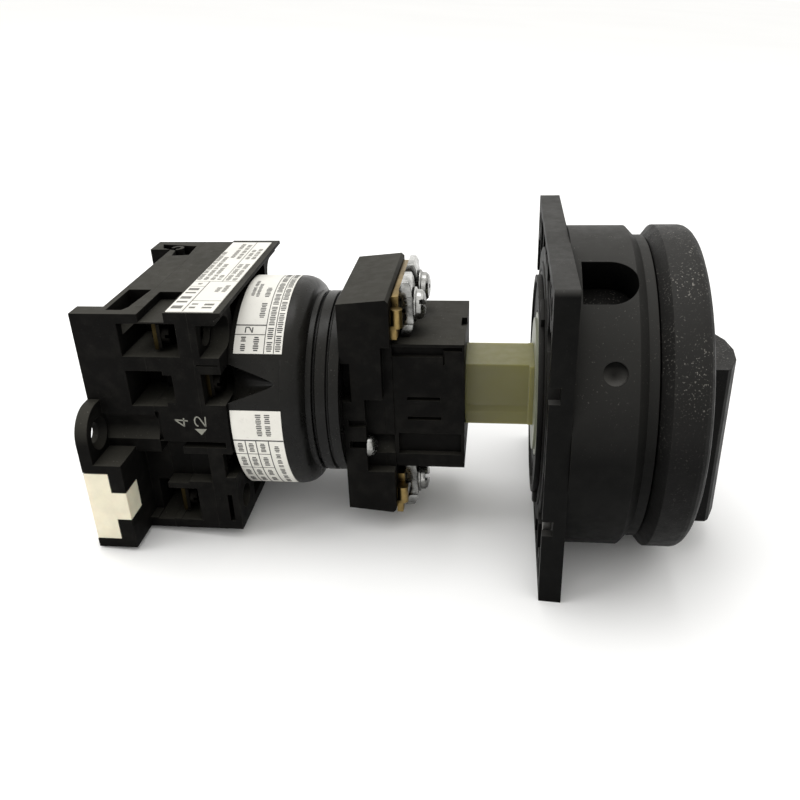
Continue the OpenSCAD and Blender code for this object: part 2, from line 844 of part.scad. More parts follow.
module bridge_2_upper()
    bridge(mechanism_2_x, mechanism_2_w);

module bridge_2_lower()
    mirror([0, 0, 1])
        bridge(mechanism_2_x, mechanism_2_w);

// Spring between the bridge and the chamber's wall
module contact_spring(x)
    color("silver")
    translate([x, 0, bridge_top_z])
        coil(1.15, 0.35, contact_top_z - bridge_top_z, 3);

module contact_spring_1_upper()
    contact_spring(mechanism_1_x);

module contact_spring_1_lower()
    mirror([0, 0, 1])
        contact_spring(mechanism_1_x);

module contact_spring_2_upper()
    contact_spring(mechanism_2_x);

module contact_spring_2_lower()
    mirror([0, 0, 1])
        contact_spring(mechanism_2_x);

// Drum that holds the latch mechanism, with screwdriver troughs cut in its side
function arc_points(c, r, a0, a1, n) =
    [for (i = [0 : n]) let (a = a0 + (a1 - a0) * i / n) c + r * [cos(a), sin(a)]];

module drum_outline()
    polygon(concat(
        [[0, drum_x], [drum_r, drum_x], [drum_r, drum_nose_x - 0.5]],
        [for (i = [0 : 5])
            let (a = 90 * i / 5)
            [cap_r + (drum_r - cap_r) * cos(a), drum_nose_x - 0.5 + (drum_nose_len - 0.6) * sin(a)]],
        [[cap_r, cap_x], [0, cap_x]]
    ));

// Slot for one latch and its spring, open towards the star
module latch_slot()
    box([star_x[0] - slide_gap, star_x[1] + slide_gap],
        [-drum_room_r, -star_r],
        [-latch_w / 2 - slide_gap, latch_w / 2 + slide_gap]);

module drum_trough() {
    translate([0, -terminal_y - 1.6, row_2_z])
        rod_x(drum_x - over, drum_nose_x - 2.6, 2.9);
    translate([0, -terminal_y, row_2_z])
        rod_x(drum_x - over, drum_x + 4, 2.3);
}

module latch_drum()
    color("#35342f")
    difference() {
        turned()
            drum_outline();
        rod_x(drum_x - over, cap_x + over, spindle_hole_r);
        rod_x(star_x[0] - slide_gap, cap_x + over, star_r + 0.8);
        near_and_far()
            latch_slot();
        near_and_far()
            drum_trough();
        near_and_far()
            translate([0, -21.6, -8.7])
                rod_x(drum_x - over, drum_x + 1.9, 2.8);
    }

// Printed field on the drum: a thin sheet bent round it, its angles from -Y towards +Z
module drum_sheet(x, a0, a1)
    translate([x[0], 0, 0])
        rotate([0, 90, 0])
            rotate([0, 0, 270 - a1])
                rotate_extrude(angle = a1 - a0)
                    rect([drum_r + 0.02, drum_r + 0.14], [0, x[1] - x[0]]);

module rating_label_upper()
    color("#d9d6cc")
    drum_sheet([drum_x + 1.1, drum_nose_x - 0.6], 38, 103);

module rating_label_lower()
    color("#d9d6cc")
    drum_sheet([drum_x + 0.4, drum_nose_x - 0.8], -49, 9.7);

// Cap that carries the rotor in front of the drum
module bearing_cap()
    color("#35342f")
    turned()
        polygon([
            [star_r + 0.6, cap_x - 2],
            [star_r + 0.6, cap_x],
            [cap_r - 0.9, cap_x],
            [cap_r - 0.9, cap_x + 0.5],
            [cap_r, cap_x + 0.8],
            [cap_r, cap_x + 2.8],
            [cap_r - 0.5, cap_x + 3],
            [cap_r - 0.5, cap_x + 3.3],
            [cap_r, cap_x + 3.5],
            [cap_r, head_x],
            [spindle_hole_r, head_x],
            [spindle_hole_r, cap_x - 2]
        ]);

// Latch star on the spindle: rounded notches between its points
module latch_star()
    color("#cfcabb")
    difference() {
        rod_x(star_x[0], star_x[1], star_r);
        for (k = [0 : latch_notches - 1])
            rotate([360 * k / latch_notches, 0, 0])
                translate([0, -star_r - 1.6, 0])
                    rod_x(star_x[0] - over, star_x[1] + over, notch_depth + 1.6);
        spindle_square(star_x[0] - over, star_x[1] + over, 0.05);
    }

// Latch that drops into the star's notches
module latch()
    color("#c9402f") {
        translate([0, -latch_nose_y - 2.2, 0])
            rod_x(star_x[0], star_x[1], 2.2);
        box(star_x, [-latch_back_y, -latch_nose_y - 2.2], [-latch_w / 2, latch_w / 2]);
    }

module latch_near()
    latch();

module latch_far()
    mirror([0, 1, 0])
        latch();

module latch_spring()
    color("silver")
    translate([(star_x[0] + star_x[1]) / 2, -latch_back_y, 0])
        rotate([90, 0, 0])
            coil(1.6, 0.5, drum_room_r - latch_back_y, 3);

module latch_spring_near()
    latch_spring();

module latch_spring_far()
    mirror([0, 1, 0])
        latch_spring();

// Front block with the two wings that carry the bus bars
module head_side() {
    box([head_x + 8.2, tower_x + over], [-head_w / 2 - over, -tower_w / 2 - slide_gap], [-14, 14.3]);
    box([head_x + 4.5, tower_x + over], [-head_w / 2 - over, -head_w / 2 + 2.4], [-14, 2.9]);
    box([head_x - over, head_x + 1.9], [-head_w / 2 - over, -head_w / 2 + 3], [2.3, 10.8]);
    for (z = [-2.7, -7.6])
        box([head_x + 1, head_x + 4.6], [-head_w / 2 - over, -head_w / 2 + 1.2], [z - 0.8, z + 0.8]);
}

module terminal_housing()
    color("#3a3936")
    difference() {
        union() {
            box([head_x, tower_x], [-head_w / 2, head_w / 2], [-wing_z + 6, wing_z - 6]);
            upper_and_lower()
                along_y(-head_w / 2, head_w / 2)
                    polygon([
                        [head_x, 14],
                        [head_x, wing_z],
                        [tower_x - 0.6, wing_z + wing_rise],
                        [tower_x, wing_z + wing_rise - 0.6],
                        [tower_x, 14]
                    ]);
        }
        rod_x(head_x - over, tower_x + over, spindle_hole_r);
        head_side();
        mirror([0, 1, 0])
            head_side();
        bus_screw_bores(bus_screw_z);
        mirror([0, 0, 1])
            bus_screw_bores(bus_screw_z + lower_bus_drop);
        near_and_far()
            translate([0, -head_w / 2 + 1.6, -8.5]) {
                rod_x(head_x + 1.4, tower_x, 1.2 + screw_gap);
                rod_x(head_x + 4.5, tower_x + over, 2.4);
            }
    }

module bus_screw_bores(z)
    for (side = [-1, 1])
        translate([0, side * bus_screw_pitch / 2, z])
            rod_x(tower_x - 6.5, tower_x + over, 1.8 + screw_gap);

// Tower that guides the extension shaft
module tower_outline()
    rounded_rect([-tower_w / 2, tower_w / 2], [tower_bottom_z, tower_top_z], 1.2);

module shaft_tower()
    color("#3a3936")
    difference() {
        along_x(tower_x, tower_end_x)
            tower_outline();
        rod_x(tower_x + 1, tower_end_x + over, head_bore_r);
        rod_x(tower_x - over, tower_end_x, spindle_hole_r);
        for (z = [2.4, -2.5])
            near_and_far()
                box([tower_x + 2.8, tower_x + 9.7], [-tower_w / 2 - over, -tower_w / 2 + 1.2], [z - 0.4, z + 0.4]);
        near_and_far()
            box([tower_x + 1, tower_end_x - 1.2], [-tower_w / 2 - over, -tower_w / 2 + 1.4], [-11, -6]);
        near_and_far()
            box([tower_x - over, tower_end_x + over], [-tower_w / 2 - over, -tower_w / 2 + 1.2], [11.1, 15]);
        box([tower_end_x - 1.1, tower_end_x + over], [-2.2, 2.2], [tower_top_z - 1.4, tower_top_z + over]);
    }

// Brass bars on the wings, with a curled tab at the near end
module bus_bar(z)
    difference() {
        union() {
            box([tower_x, tower_x + bus_bar_t], [-bus_bar_y, bus_bar_y + 0.6], [z - 4.4, z + 3.2]);
            box([tower_x, tower_x + bus_bar_t + 1.2], [-bus_bar_y, -bus_bar_y + 3.4], [z - 4.4, z - 3.4]);
        }
        for (side = [-1, 1])
            translate([0, side * bus_screw_pitch / 2, z])
                rod_x(tower_x - over, tower_x + 4, 1.8 + screw_gap);
    }

module upper_bus_bar()
    color("#a8894f")
    bus_bar(bus_screw_z);

module lower_bus_bar()
    color("#a8894f")
    mirror([0, 0, 1])
        bus_bar(bus_screw_z + lower_bus_drop);

// Bent zinc saddle under each bus screw
module saddle(z)
    difference() {
        along_y(-3.4, 3.4)
            polygon([
                [saddle_x + 0.9, z - 5.5],
                [saddle_x + 1.9, z - 5.6],
                [saddle_x + saddle_t, z - 3.8],
                [saddle_x + saddle_t, z + 3.8],
                [saddle_x + 2.2, z + 5.6],
                [saddle_x + 1.1, z + 5.7],
                [saddle_x, z + 3.4],
                [saddle_x, z - 3.4]
            ]);
        translate([0, 0, z])
            rod_x(saddle_x - over, saddle_x + 4, 1.8 + screw_gap);
    }

module saddles(z)
    for (side = [-1, 1])
        translate([0, side * bus_screw_pitch / 2, 0])
            saddle(z);

module upper_saddles()
    color("#b9b9b4")
    saddles(bus_screw_z);

module lower_saddles()
    color("#b9b9b4")
    mirror([0, 0, 1])
        saddles(bus_screw_z + lower_bus_drop);

// Flanged bus screws with slotted heads
module bus_screws(z)
    for (side = [-1, 1])
        translate([0, side * bus_screw_pitch / 2, z]) {
            rod_x(saddle_x + saddle_t, saddle_x + saddle_t + 0.6, 3.5);
            slotted_screw(saddle_x + saddle_t + 0.6, bus_head_d / 2, 2.6, 1.8, 6);
        }

module upper_bus_screws()
    color("#b9b9b4")
    bus_screws(bus_screw_z);

module lower_bus_screws()
    color("#b9b9b4")
    mirror([0, 0, 1])
        bus_screws(bus_screw_z + lower_bus_drop);

// Small screws that hold the front block
module housing_screws()
    color("#b9b9b4")
    near_and_far()
        translate([0, -head_w / 2 + 1.6, -8.5])
            slotted_screw(head_x + 4.5, 2.3, 1.7, 1.2, 3);

// Extension shaft: round journal, ribbed free length, collar and square tip
module shaft_outline() {
    rect([-shaft_w / 2 + 0.8, shaft_w / 2 - 0.8], [-shaft_h / 2, shaft_h / 2]);
    for (k = [0, 1])
        rotate(180 * k)
            polygon([
                [-shaft_w / 2, -shaft_h / 2],
                [0, -shaft_h / 2],
                [0, -shaft_h / 2 + 4],
                [-shaft_w / 2 + 0.8, -shaft_h / 2 + 4],
                [-shaft_w / 2, -shaft_h / 2 + 2.8]
            ]);
}

module extension_shaft()
    color("#a5a67f")
    difference() {
        union() {
            rod_x(shaft_socket_x, tower_end_x + 0.1, shaft_round_r);
            along_x(tower_end_x, shaft_collar_x + 0.1)
                shaft_outline();
            box([shaft_collar_x, shaft_tip_x], [-shaft_w / 2 - 0.2, shaft_w / 2 + 0.2],
                [-shaft_h / 2, shaft_h / 2]);
            box([shaft_tip_x - 0.1, shaft_tip_x + shaft_tip_len], [-shaft_tip_side / 2, shaft_tip_side / 2],
                [-shaft_tip_side / 2, shaft_tip_side / 2]);
        }
        spindle_square(shaft_socket_x - over, spindle_end_x + 1, 0.05);
    }

// Door plate with relief at the back, screw bosses and edge notches
module door_plate()
    color("#35342f")
    difference() {
        along_x(plate_x, collar_x)
            rounded_rect([-plate_side / 2, plate_side / 2], [-plate_side / 2, plate_side / 2], 1);
        difference() {
            along_x(plate_x - over, plate_x + plate_relief)
                rect([-plate_side / 2 + 2, plate_side / 2 - 2], [-plate_side / 2 + 2, plate_side / 2 - 2]);
            rod_x(plate_x - 2 * over, collar_x, disc_r + 1.4);
            for (a = [-1, 1], b = [-1, 1])
                translate([0, a * plate_hole_pitch / 2, b * plate_hole_pitch / 2])
                    rod_x(plate_x - 2 * over, collar_x, plate_hole_d / 2 + 1.9);
            for (u = [-20, -10, 0, 10, 20])
                box([plate_x - 2 * over, collar_x], [u - 0.6, u + 0.6], [-plate_side, plate_side]);
        }
        rod_x(plate_x - over, collar_x + over, collar_bore_r);
        for (a = [-1, 1], b = [-1, 1])
            translate([0, a * plate_hole_pitch / 2, b * plate_hole_pitch / 2])
                rod_x(plate_x - over, collar_x + over, plate_hole_d / 2);
        for (z = [13.4, -14.4])
            near_and_far()
                box([plate_x - over, plate_x + 2], [-plate_side / 2 - over, -plate_side / 2 + 2],
                    [z - 1.6, z + 1.6]);
        plate_screw_places()
            rod_x(plate_x - over, collar_x + over, 1.3 + screw_gap);
        plate_screw_places()
            rod_x(plate_x - over, plate_x + 2.2, 2.4);
    }

module plate_screw_places()
    for (a = [plate_screw_angle, 180 - plate_screw_angle, 180 + plate_screw_angle, 360 - plate_screw_angle])
        rotate([a, 0, 0])
            translate([0, 0, plate_screw_ring_r])
                children();

module plate_screws()
    color("#8c8c88")
    plate_screw_places()
        mirror([1, 0, 0])
            translate([-2 * plate_x - 2.2, 0, 0])
                slotted_screw(plate_x, 2.2, 1.5, 1.3, 8);

// Locking collar with padlock openings and drill points
module lock_opening()
    translate([0, 0, collar_bore_r - 2])
        linear_extrude(collar_r)
            intersection() {
                union() {
                    rect([collar_x + 1.6, neck_x - lock_w / 2 + 0.3], [-lock_w / 2, lock_w / 2]);
                    translate([neck_x - lock_w / 2 + 0.3, 0])
                        circle(lock_w / 2);
                }
                rect([collar_x + 1.6, neck_x + over], [-lock_w / 2, lock_w / 2]);
            }

module lock_collar()
    color("#35342f")
    difference() {
        turned()
            polygon([
                [collar_bore_r, collar_x],
                [collar_r, collar_x],
                [collar_r, neck_x],
                [neck_r, neck_x + neck_len],
                [neck_r, collar_end_x],
                [collar_bore_r, collar_end_x]
            ]);
        for (side = [-1, 1])
            rotate([side * lock_angle, 0, 0])
                lock_opening();
        for (side = [-1, 1])
            rotate([side * drill_angle, 0, 0])
                translate([collar_x + 7.1, 0, collar_r - 2.6]) {
                    cylinder(r = 2.15, h = 4);
                    translate([0, 0, -1.2])
                        cylinder(r1 = 0.05, r2 = 2.15, h = 1.2);
                }
        plate_screw_places()
            rod_x(collar_x - over, collar_x + 6.2, 1.3 + screw_gap);
    }

// Pale disc behind the plate that takes the shaft's square tip
module drive_disc()
    color("#cfcfb4")
    difference() {
        union() {
            rod_x(disc_x, disc_x + disc_t, disc_r);
            rod_x(disc_x, disc_x + shaft_tip_len + 1.6, hub_r);
        }
        box([disc_x - over, disc_x + shaft_tip_len + 0.8],
            [-shaft_tip_side / 2 - slide_gap, shaft_tip_side / 2 + slide_gap],
            [-shaft_tip_side / 2 - slide_gap, shaft_tip_side / 2 + slide_gap]);
        box([disc_x - over, shaft_tip_x + 0.3], [-shaft_w / 2 - 0.6, shaft_w / 2 + 0.6],
            [-shaft_h / 2 - 0.4, shaft_h / 2 + 0.4]);
        drive_screw_places()
            rod_x(disc_x - over, disc_x + disc_t + over, 1.3 + screw_gap);
    }

module retaining_ring()
    color("#35342f")
    difference() {
        rod_x(disc_x - 2, disc_x, 27);
        rod_x(disc_x - 2 - over, disc_x + over, 24);
    }

module drive_screw_places()
    for (a = [0, 120, 240])
        rotate([a, 0, 0])
            translate([0, 0, drive_screw_ring_r])
                children();

module drive_screws()
    color("#8c8c88")
    drive_screw_places()
        mirror([1, 0, 0])
            translate([-2 * disc_x, 0, 0])
                slotted_screw(disc_x, 2.3, 1.4, 1.3, 6);

// Knob with its inner drum and the crowned grip
module grip_outline()
    polygon([
        [-grip_w / 2, knob_face_x - 1],
        [grip_w / 2, knob_face_x - 1],
        [grip_w / 2, knob_face_x + grip_rise - 0.8],
        [grip_w / 2 - 0.8, knob_face_x + grip_rise],
        [grip_w / 4, knob_face_x + grip_rise + grip_crown * 0.75],
        [0, knob_face_x + grip_rise + grip_crown],
        [-grip_w / 4, knob_face_x + grip_rise + grip_crown * 0.75],
        [-grip_w / 2 + 0.8, knob_face_x + grip_rise],
        [-grip_w / 2, knob_face_x + grip_rise - 0.8]
    ]);

module grip()
    translate([0, 0, -grip_drop])
        linear_extrude(grip_drop + grip_top)
            rotate(-90)
                mirror([1, 0])
                    grip_outline();

module knob()
    color("#3a3936")
    difference() {
        union() {
            turned()
                polygon(concat(
                    [
                        [0, knob_x],
                        [neck_r - 0.4, knob_x],
                        [knob_r, knob_x + 1.8],
                        [knob_r, knob_face_x - 2.4]
                    ],
                    [for (i = [1 : 5])
                        let (a = 90 * i / 5)
                        [front_r + (knob_r - front_r) * cos(a), knob_face_x - 2.4 + 2.4 * sin(a)]],
                    [[0, knob_face_x]]
                ));
            rod_x(collar_x + 2.6, knob_x + 0.1, inner_drum_r);
            rod_x(disc_x + disc_t, collar_x + 2.7, knob_tube_r);
            grip();
        }
        rod_x(disc_x, knob_x - 1, knob_room_r);
        drive_screw_places()
            rod_x(disc_x, disc_x + disc_t + 5.6, 1.3 + screw_gap);
    }

mounting_base();
rail_slider();
slider_spring();
contact_chamber_1();
contact_chamber_2();
marker_label();
terminal_strips_1();
terminal_strips_2();
terminal_screws_1();
terminal_screws_2();
chamber_screws();
cam_disc_1();
cam_disc_2();
cam_spindle();
plunger_1_upper();
plunger_1_lower();
plunger_2_upper();
plunger_2_lower();
bridge_1_upper();
bridge_1_lower();
bridge_2_upper();
bridge_2_lower();
contact_spring_1_upper();
contact_spring_1_lower();
contact_spring_2_upper();
contact_spring_2_lower();
latch_drum();
rating_label_upper();
rating_label_lower();
bearing_cap();
latch_star();
latch_near();
latch_far();
latch_spring_near();
latch_spring_far();
terminal_housing();
shaft_tower();
upper_bus_bar();
lower_bus_bar();
upper_saddles();
lower_saddles();
upper_bus_screws();
lower_bus_screws();
housing_screws();
extension_shaft();
door_plate();
lock_collar();
plate_screws();
drive_disc();
retaining_ring();
drive_screws();
knob();
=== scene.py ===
import json
import math

import bmesh
import bpy
from mathutils import Matrix, Vector


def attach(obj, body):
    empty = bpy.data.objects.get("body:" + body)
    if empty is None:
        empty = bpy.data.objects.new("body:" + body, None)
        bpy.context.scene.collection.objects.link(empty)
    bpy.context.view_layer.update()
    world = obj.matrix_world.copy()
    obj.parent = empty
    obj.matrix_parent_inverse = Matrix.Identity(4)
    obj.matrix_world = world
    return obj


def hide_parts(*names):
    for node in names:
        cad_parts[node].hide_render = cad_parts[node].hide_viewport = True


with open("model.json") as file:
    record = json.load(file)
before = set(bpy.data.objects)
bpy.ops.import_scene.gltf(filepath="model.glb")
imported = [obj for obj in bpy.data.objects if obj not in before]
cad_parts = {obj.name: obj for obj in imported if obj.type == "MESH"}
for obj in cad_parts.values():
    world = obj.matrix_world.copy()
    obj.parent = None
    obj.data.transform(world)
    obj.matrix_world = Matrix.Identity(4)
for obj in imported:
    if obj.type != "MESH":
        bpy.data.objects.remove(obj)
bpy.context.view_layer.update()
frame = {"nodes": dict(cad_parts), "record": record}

MM = 0.001
NODES = frame["nodes"]
SHADER_SAMPLES = 6


# ---------------------------------------------------------------- materials

class Shader:
    """A material whose nodes are added one call at a time."""

    def __init__(self, name):
        self.material = bpy.data.materials.new(name)
        self.material.use_nodes = True
        self.tree = self.material.node_tree
        self.bsdf = self.tree.nodes["Principled BSDF"]
        self.coord = self.add("ShaderNodeTexCoord").outputs["Object"]

    def add(self, kind, inputs=None, **settings):
        """A new node with its settings and its inputs."""
        made = self.tree.nodes.new(kind)
        for key, value in settings.items():
            setattr(made, key, value)
        for key, value in (inputs or {}).items():
            self.put(made.inputs[key], value)
        return made

    def put(self, socket, value):
        """Links another node's output to the socket, or stores a constant on it."""
        if isinstance(value, bpy.types.NodeSocket):
            self.tree.links.new(value, socket)
        else:
            socket.default_value = value

    def set(self, **values):
        """Inputs of the Principled shader, their names written with _ for a space."""
        for key, value in values.items():
            self.put(self.bsdf.inputs[key.replace("_", " ")], value)

    def noise(self, scale, detail=2.0, rough=0.5, stretch=None):
        """Noise in object space, its axes scaled by stretch."""
        vector = self.coord
        if stretch:
            vector = self.add("ShaderNodeMapping", {"Vector": vector, "Scale": stretch}).outputs[0]
        inputs = {"Vector": vector, "Scale": scale, "Detail": detail, "Roughness": rough}
        return self.add("ShaderNodeTexNoise", inputs).outputs[0]

    def ramp(self, value, stops):
        """The value through a ramp whose stops are (place, grey or colour)."""
        made = self.add("ShaderNodeValToRGB", {"Fac": value})
        points = made.color_ramp.elements
        while len(points) < len(stops):
            points.new(0.5)
        for point, (place, tone) in zip(points, stops):
            grey = isinstance(tone, (int, float))
            point.position = place
            point.color = (tone, tone, tone, 1.0) if grey else (*tone, 1.0)
        return made.outputs["Color"]

    def math(self, operation, a, b, clamp=False):
        made = self.add("ShaderNodeMath", operation=operation, use_clamp=clamp)
        self.put(made.inputs[0], a)
        self.put(made.inputs[1], b)
        return made.outputs[0]

    def times(self, a, b):
        return self.math("MULTIPLY", a, b)

    def mix(self, factor, a, b):
        """Tone a where the factor is 0, tone b where it is 1."""
        made = self.add("ShaderNodeMix", data_type="RGBA")
        self.put(made.inputs[0], factor)
        self.put(made.inputs[6], (*a, 1.0) if isinstance(a, tuple) else a)
        self.put(made.inputs[7], (*b, 1.0) if isinstance(b, tuple) else b)
        return made.outputs[2]

    def shade(self, tone, factor):
        """The tone multiplied by the factor."""
        made = self.add("ShaderNodeMix", data_type="RGBA", blend_type="MULTIPLY")
        self.put(made.inputs[0], 1.0)
        self.put(made.inputs[6], tone)
        self.put(made.inputs[7], factor)
        return made.outputs[2]

    def edges(self, radius):
        """Rounded normal, and how strongly the surface bends there."""
        soft = self.add("ShaderNodeBevel", {"Radius": radius}, samples=SHADER_SAMPLES).outputs[0]
        flat = self.add("ShaderNodeNewGeometry").outputs["Normal"]
        dot = self.add("ShaderNodeVectorMath", {0: soft, 1: flat}, operation="DOT_PRODUCT")
        return soft, self.math("SUBTRACT", 1.0, dot.outputs["Value"], clamp=True)

    def upward(self):
        """1 on faces that look up, 0 on the sides and below."""
        normal = self.add("ShaderNodeNewGeometry").outputs["Normal"]
        z = self.add("ShaderNodeSeparateXYZ", {0: normal}).outputs[2]
        return self.math("MULTIPLY", z, 1.0, clamp=True)

    def painted_pit_shade(self, reach, darkest):
        """Painted shade from ambient occlusion: 1 in the open, falling to darkest deep in recesses
        and openings.
        """
        inputs = {"Distance": reach}
        sky = self.add("ShaderNodeAmbientOcclusion", inputs, samples=SHADER_SAMPLES).outputs["AO"]
        return self.ramp(sky, [(0.12, darkest), (0.75, 1.0)])

    def bump(self, height, strength, distance, normal=None):
        inputs = {"Height": height, "Strength": strength, "Distance": distance}
        if normal is not None:
            inputs["Normal"] = normal
        return self.add("ShaderNodeBump", inputs).outputs[0]


DUST = (0.42, 0.4, 0.36)
DUST_ON_SIDES = 0.08
DUST_ROUGHNESS = 0.3
RUB_AND_HIGHLIGHT_SHARE = 0.45
# How far and how deep the painted shade in recesses of moulded parts goes.
PIT_SHADE_REACH = 5 * MM
PIT_SHADE_DARKEST = 0.12
MOULDED_RELIEF = 0.05 * MM
METAL_RELIEF = 0.02 * MM
FILM_RELIEF = 0.02 * MM
METAL_EDGE = 0.12 * MM
NYLON_EDGE = 0.4 * MM
EDGE_HIGHLIGHT_SHARE = 0.5


def moulded(name, base, wear_and_highlight, rough, grain_scale, grain, dust, edge=0.25, streak=0.12,
            top_sheen=None, speck=0.66, specular=None, glow=None):
    """Moulded plastic: tone, grain, rounded edges, rubbed edges lightened partly as wear and
    partly as a painted highlight, dust, and a painted paler sheen on faces that look up.

    edge is in mm, top_sheen is the (strength, colour) of the painted sheen on top, speck is the
    noise level where dust begins, and glow is the (weight, scale) of the light that spreads under
    the surface.
    """
    s = Shader(name)
    darker, lighter = (tuple(share * c for c in base) for share in (0.82, 1.2))
    tone = s.ramp(s.noise(90.0, 4.0, 0.6), [(0.3, darker), (0.7, lighter)])
    smear = s.ramp(s.noise(260.0, 5.0, 0.65, (1.0, 0.35, 1.0)), [(0.46, 0.0), (0.72, 1.0)])
    tone = s.mix(s.times(smear, streak), tone, wear_and_highlight)
    # Painted sheen: faces that look up are lightened towards the given colour, for the light that
    # falls on top.
    if top_sheen:
        strength, colour = top_sheen
        cloud = s.ramp(s.noise(55.0, 3.0, 0.5), [(0.3, 0.8), (0.7, 1.0)])
        tone = s.mix(s.times(s.times(s.upward(), cloud), strength), tone, colour)
    soft, bend = s.edges(edge * MM)
    # Rubbed edges: a lighter tone along bends, partly wear and partly a painted highlight.
    broken = s.ramp(s.noise(700.0, 3.0), [(0.35, 0.15), (0.65, 1.0)])
    rub_and_highlight = s.times(s.ramp(bend, [(0.03, 0.0), (0.25, 1.0)]), broken)
    tone = s.mix(s.times(rub_and_highlight, RUB_AND_HIGHLIGHT_SHARE), tone, wear_and_highlight)
    specks = s.ramp(s.noise(2600.0, 2.0, 0.6), [(speck, 0.0), (speck + 0.06, 1.0)])
    patches = s.ramp(s.noise(160.0, 3.0), [(0.4, 0.1), (0.7, 1.0)])
    lying = s.math("ADD", s.times(s.upward(), 1 - DUST_ON_SIDES), DUST_ON_SIDES)
    settled = s.times(s.times(specks, patches), lying)
    tone = s.mix(s.times(settled, dust), tone, DUST)
    # Painted shade: darker deep in recesses and openings.
    tone = s.shade(tone, s.painted_pit_shade(PIT_SHADE_REACH, PIT_SHADE_DARKEST))
    shine = s.ramp(s.noise(420.0, 4.0, 0.6), [(0.3, rough - 0.07), (0.7, rough + 0.09)])
    shine = s.math("ADD", shine, s.times(settled, DUST_ROUGHNESS), clamp=True)
    normal = s.bump(s.noise(grain_scale, 3.0, 0.6), grain, MOULDED_RELIEF, soft)
    s.set(Base_Color=tone, Roughness=shine, Normal=normal)
    if specular is not None:
        s.set(Specular_IOR_Level=specular)
    if glow:
        s.set(Subsurface_Weight=glow[0], Subsurface_Scale=glow[1])
    return s.material


def nylon():
    """Translucent greenish nylon with a faint flow pattern."""
    s = Shader("nylon")
    flow = s.noise(70.0, 3.0, 0.5, (0.4, 1.0, 1.0))
    tone = s.ramp(flow, [(0.3, (0.135, 0.124, 0.03)), (0.75, (0.18, 0.168, 0.05))])
    soft, bend = s.edges(NYLON_EDGE)
    # Painted highlight: the nylon's edges are lightened.
    edge_highlight = s.times(s.ramp(bend, [(0.02, 0.0), (0.3, 1.0)]), EDGE_HIGHLIGHT_SHARE)
    tone = s.mix(edge_highlight, tone, (0.26, 0.25, 0.14))
    dirt = s.ramp(s.noise(900.0, 4.0, 0.7), [(0.6, 0.0), (0.75, 1.0)])
    tone = s.mix(s.times(dirt, 0.22), tone, (0.12, 0.11, 0.05))
    s.set(
        Base_Color=tone, Roughness=s.ramp(s.noise(500.0, 3.0), [(0.3, 0.34), (0.7, 0.5)]),
        Subsurface_Weight=0.55, Subsurface_Scale=0.004, Subsurface_Radius=(1.0, 0.95, 0.35),
        Normal=s.bump(s.noise(650.0, 2.0), 0.12, MOULDED_RELIEF, soft),
    )
    return s.material


def metal(name, base, patch_tone, rough, brush, tarnish_and_reflection, reach=4, darkest=0.06, under=1.0):
    """Sheet or turned metal with brushing, dull patches (tarnish, and on zinc also painted dark
    reflections), painted highlights along edges and painted shade.

    reach (mm) and darkest say how the painted shade darkens it in recesses, under is the share of
    tone left on faces that don't look up, a painted shade on sides and undersides.
    """
    s = Shader(name)
    blotch = s.ramp(s.noise(420.0, 5.0, 0.65), [(0.4, 0.0), (0.68, 1.0)])
    tone = s.mix(s.times(blotch, tarnish_and_reflection), base, patch_tone)
    soft, bend = s.edges(METAL_EDGE)
    # Painted highlight: edges are brightened.
    edge_highlight = s.times(s.ramp(bend, [(0.03, 0.0), (0.3, 1.0)]), EDGE_HIGHLIGHT_SHARE)
    tone = s.mix(edge_highlight, tone, tuple(min(1.0, 1.25 * c) for c in base))
    # Painted shade: darker in recesses.
    tone = s.shade(tone, s.painted_pit_shade(reach * MM, darkest))
    # Painted shade: darker on faces that don't look up.
    tone = s.shade(tone, s.ramp(s.upward(), [(0.02, under), (0.45, 1.0)]))
    lines = s.noise(1200.0, 3.0, 0.6, brush)
    shine = s.ramp(lines, [(0.3, rough - 0.08), (0.7, rough + 0.1)])
    shine = s.math("ADD", shine, s.times(blotch, 0.12), clamp=True)
    normal = s.bump(lines, 0.25, METAL_RELIEF, soft)
    s.set(Base_Color=tone, Roughness=shine, Normal=normal, Metallic=1.0)
    return s.material


def label_film(name, base, dim):
    """Label film with faint mottling and dirt."""
    s = Shader(name)
    tone = s.ramp(s.noise(120.0, 4.0, 0.6), [(0.3, dim), (0.72, base)])
    dirt = s.ramp(s.noise(1300.0, 5.0, 0.7), [(0.58, 0.0), (0.78, 1.0)])
    tone = s.mix(s.times(dirt, 0.3), tone, (0.3, 0.28, 0.24))
    shine = s.ramp(s.noise(300.0, 3.0), [(0.3, 0.38), (0.7, 0.55)])
    normal = s.bump(s.noise(800.0, 3.0), 0.1, FILM_RELIEF)
    s.set(Base_Color=tone, Roughness=shine, Normal=normal)
    return s.material


def ink(name, scale, stops, shine):
    """Print that is unevenly dense: tones and roughness by noise."""
    s = Shader(name)
    tone = s.ramp(s.noise(scale, 3.0, 0.6), stops)
    least, most = shine
    s.set(Base_Color=tone, Roughness=s.ramp(s.noise(900.0), [(0.3, least), (0.7, most)]))
    return s.material


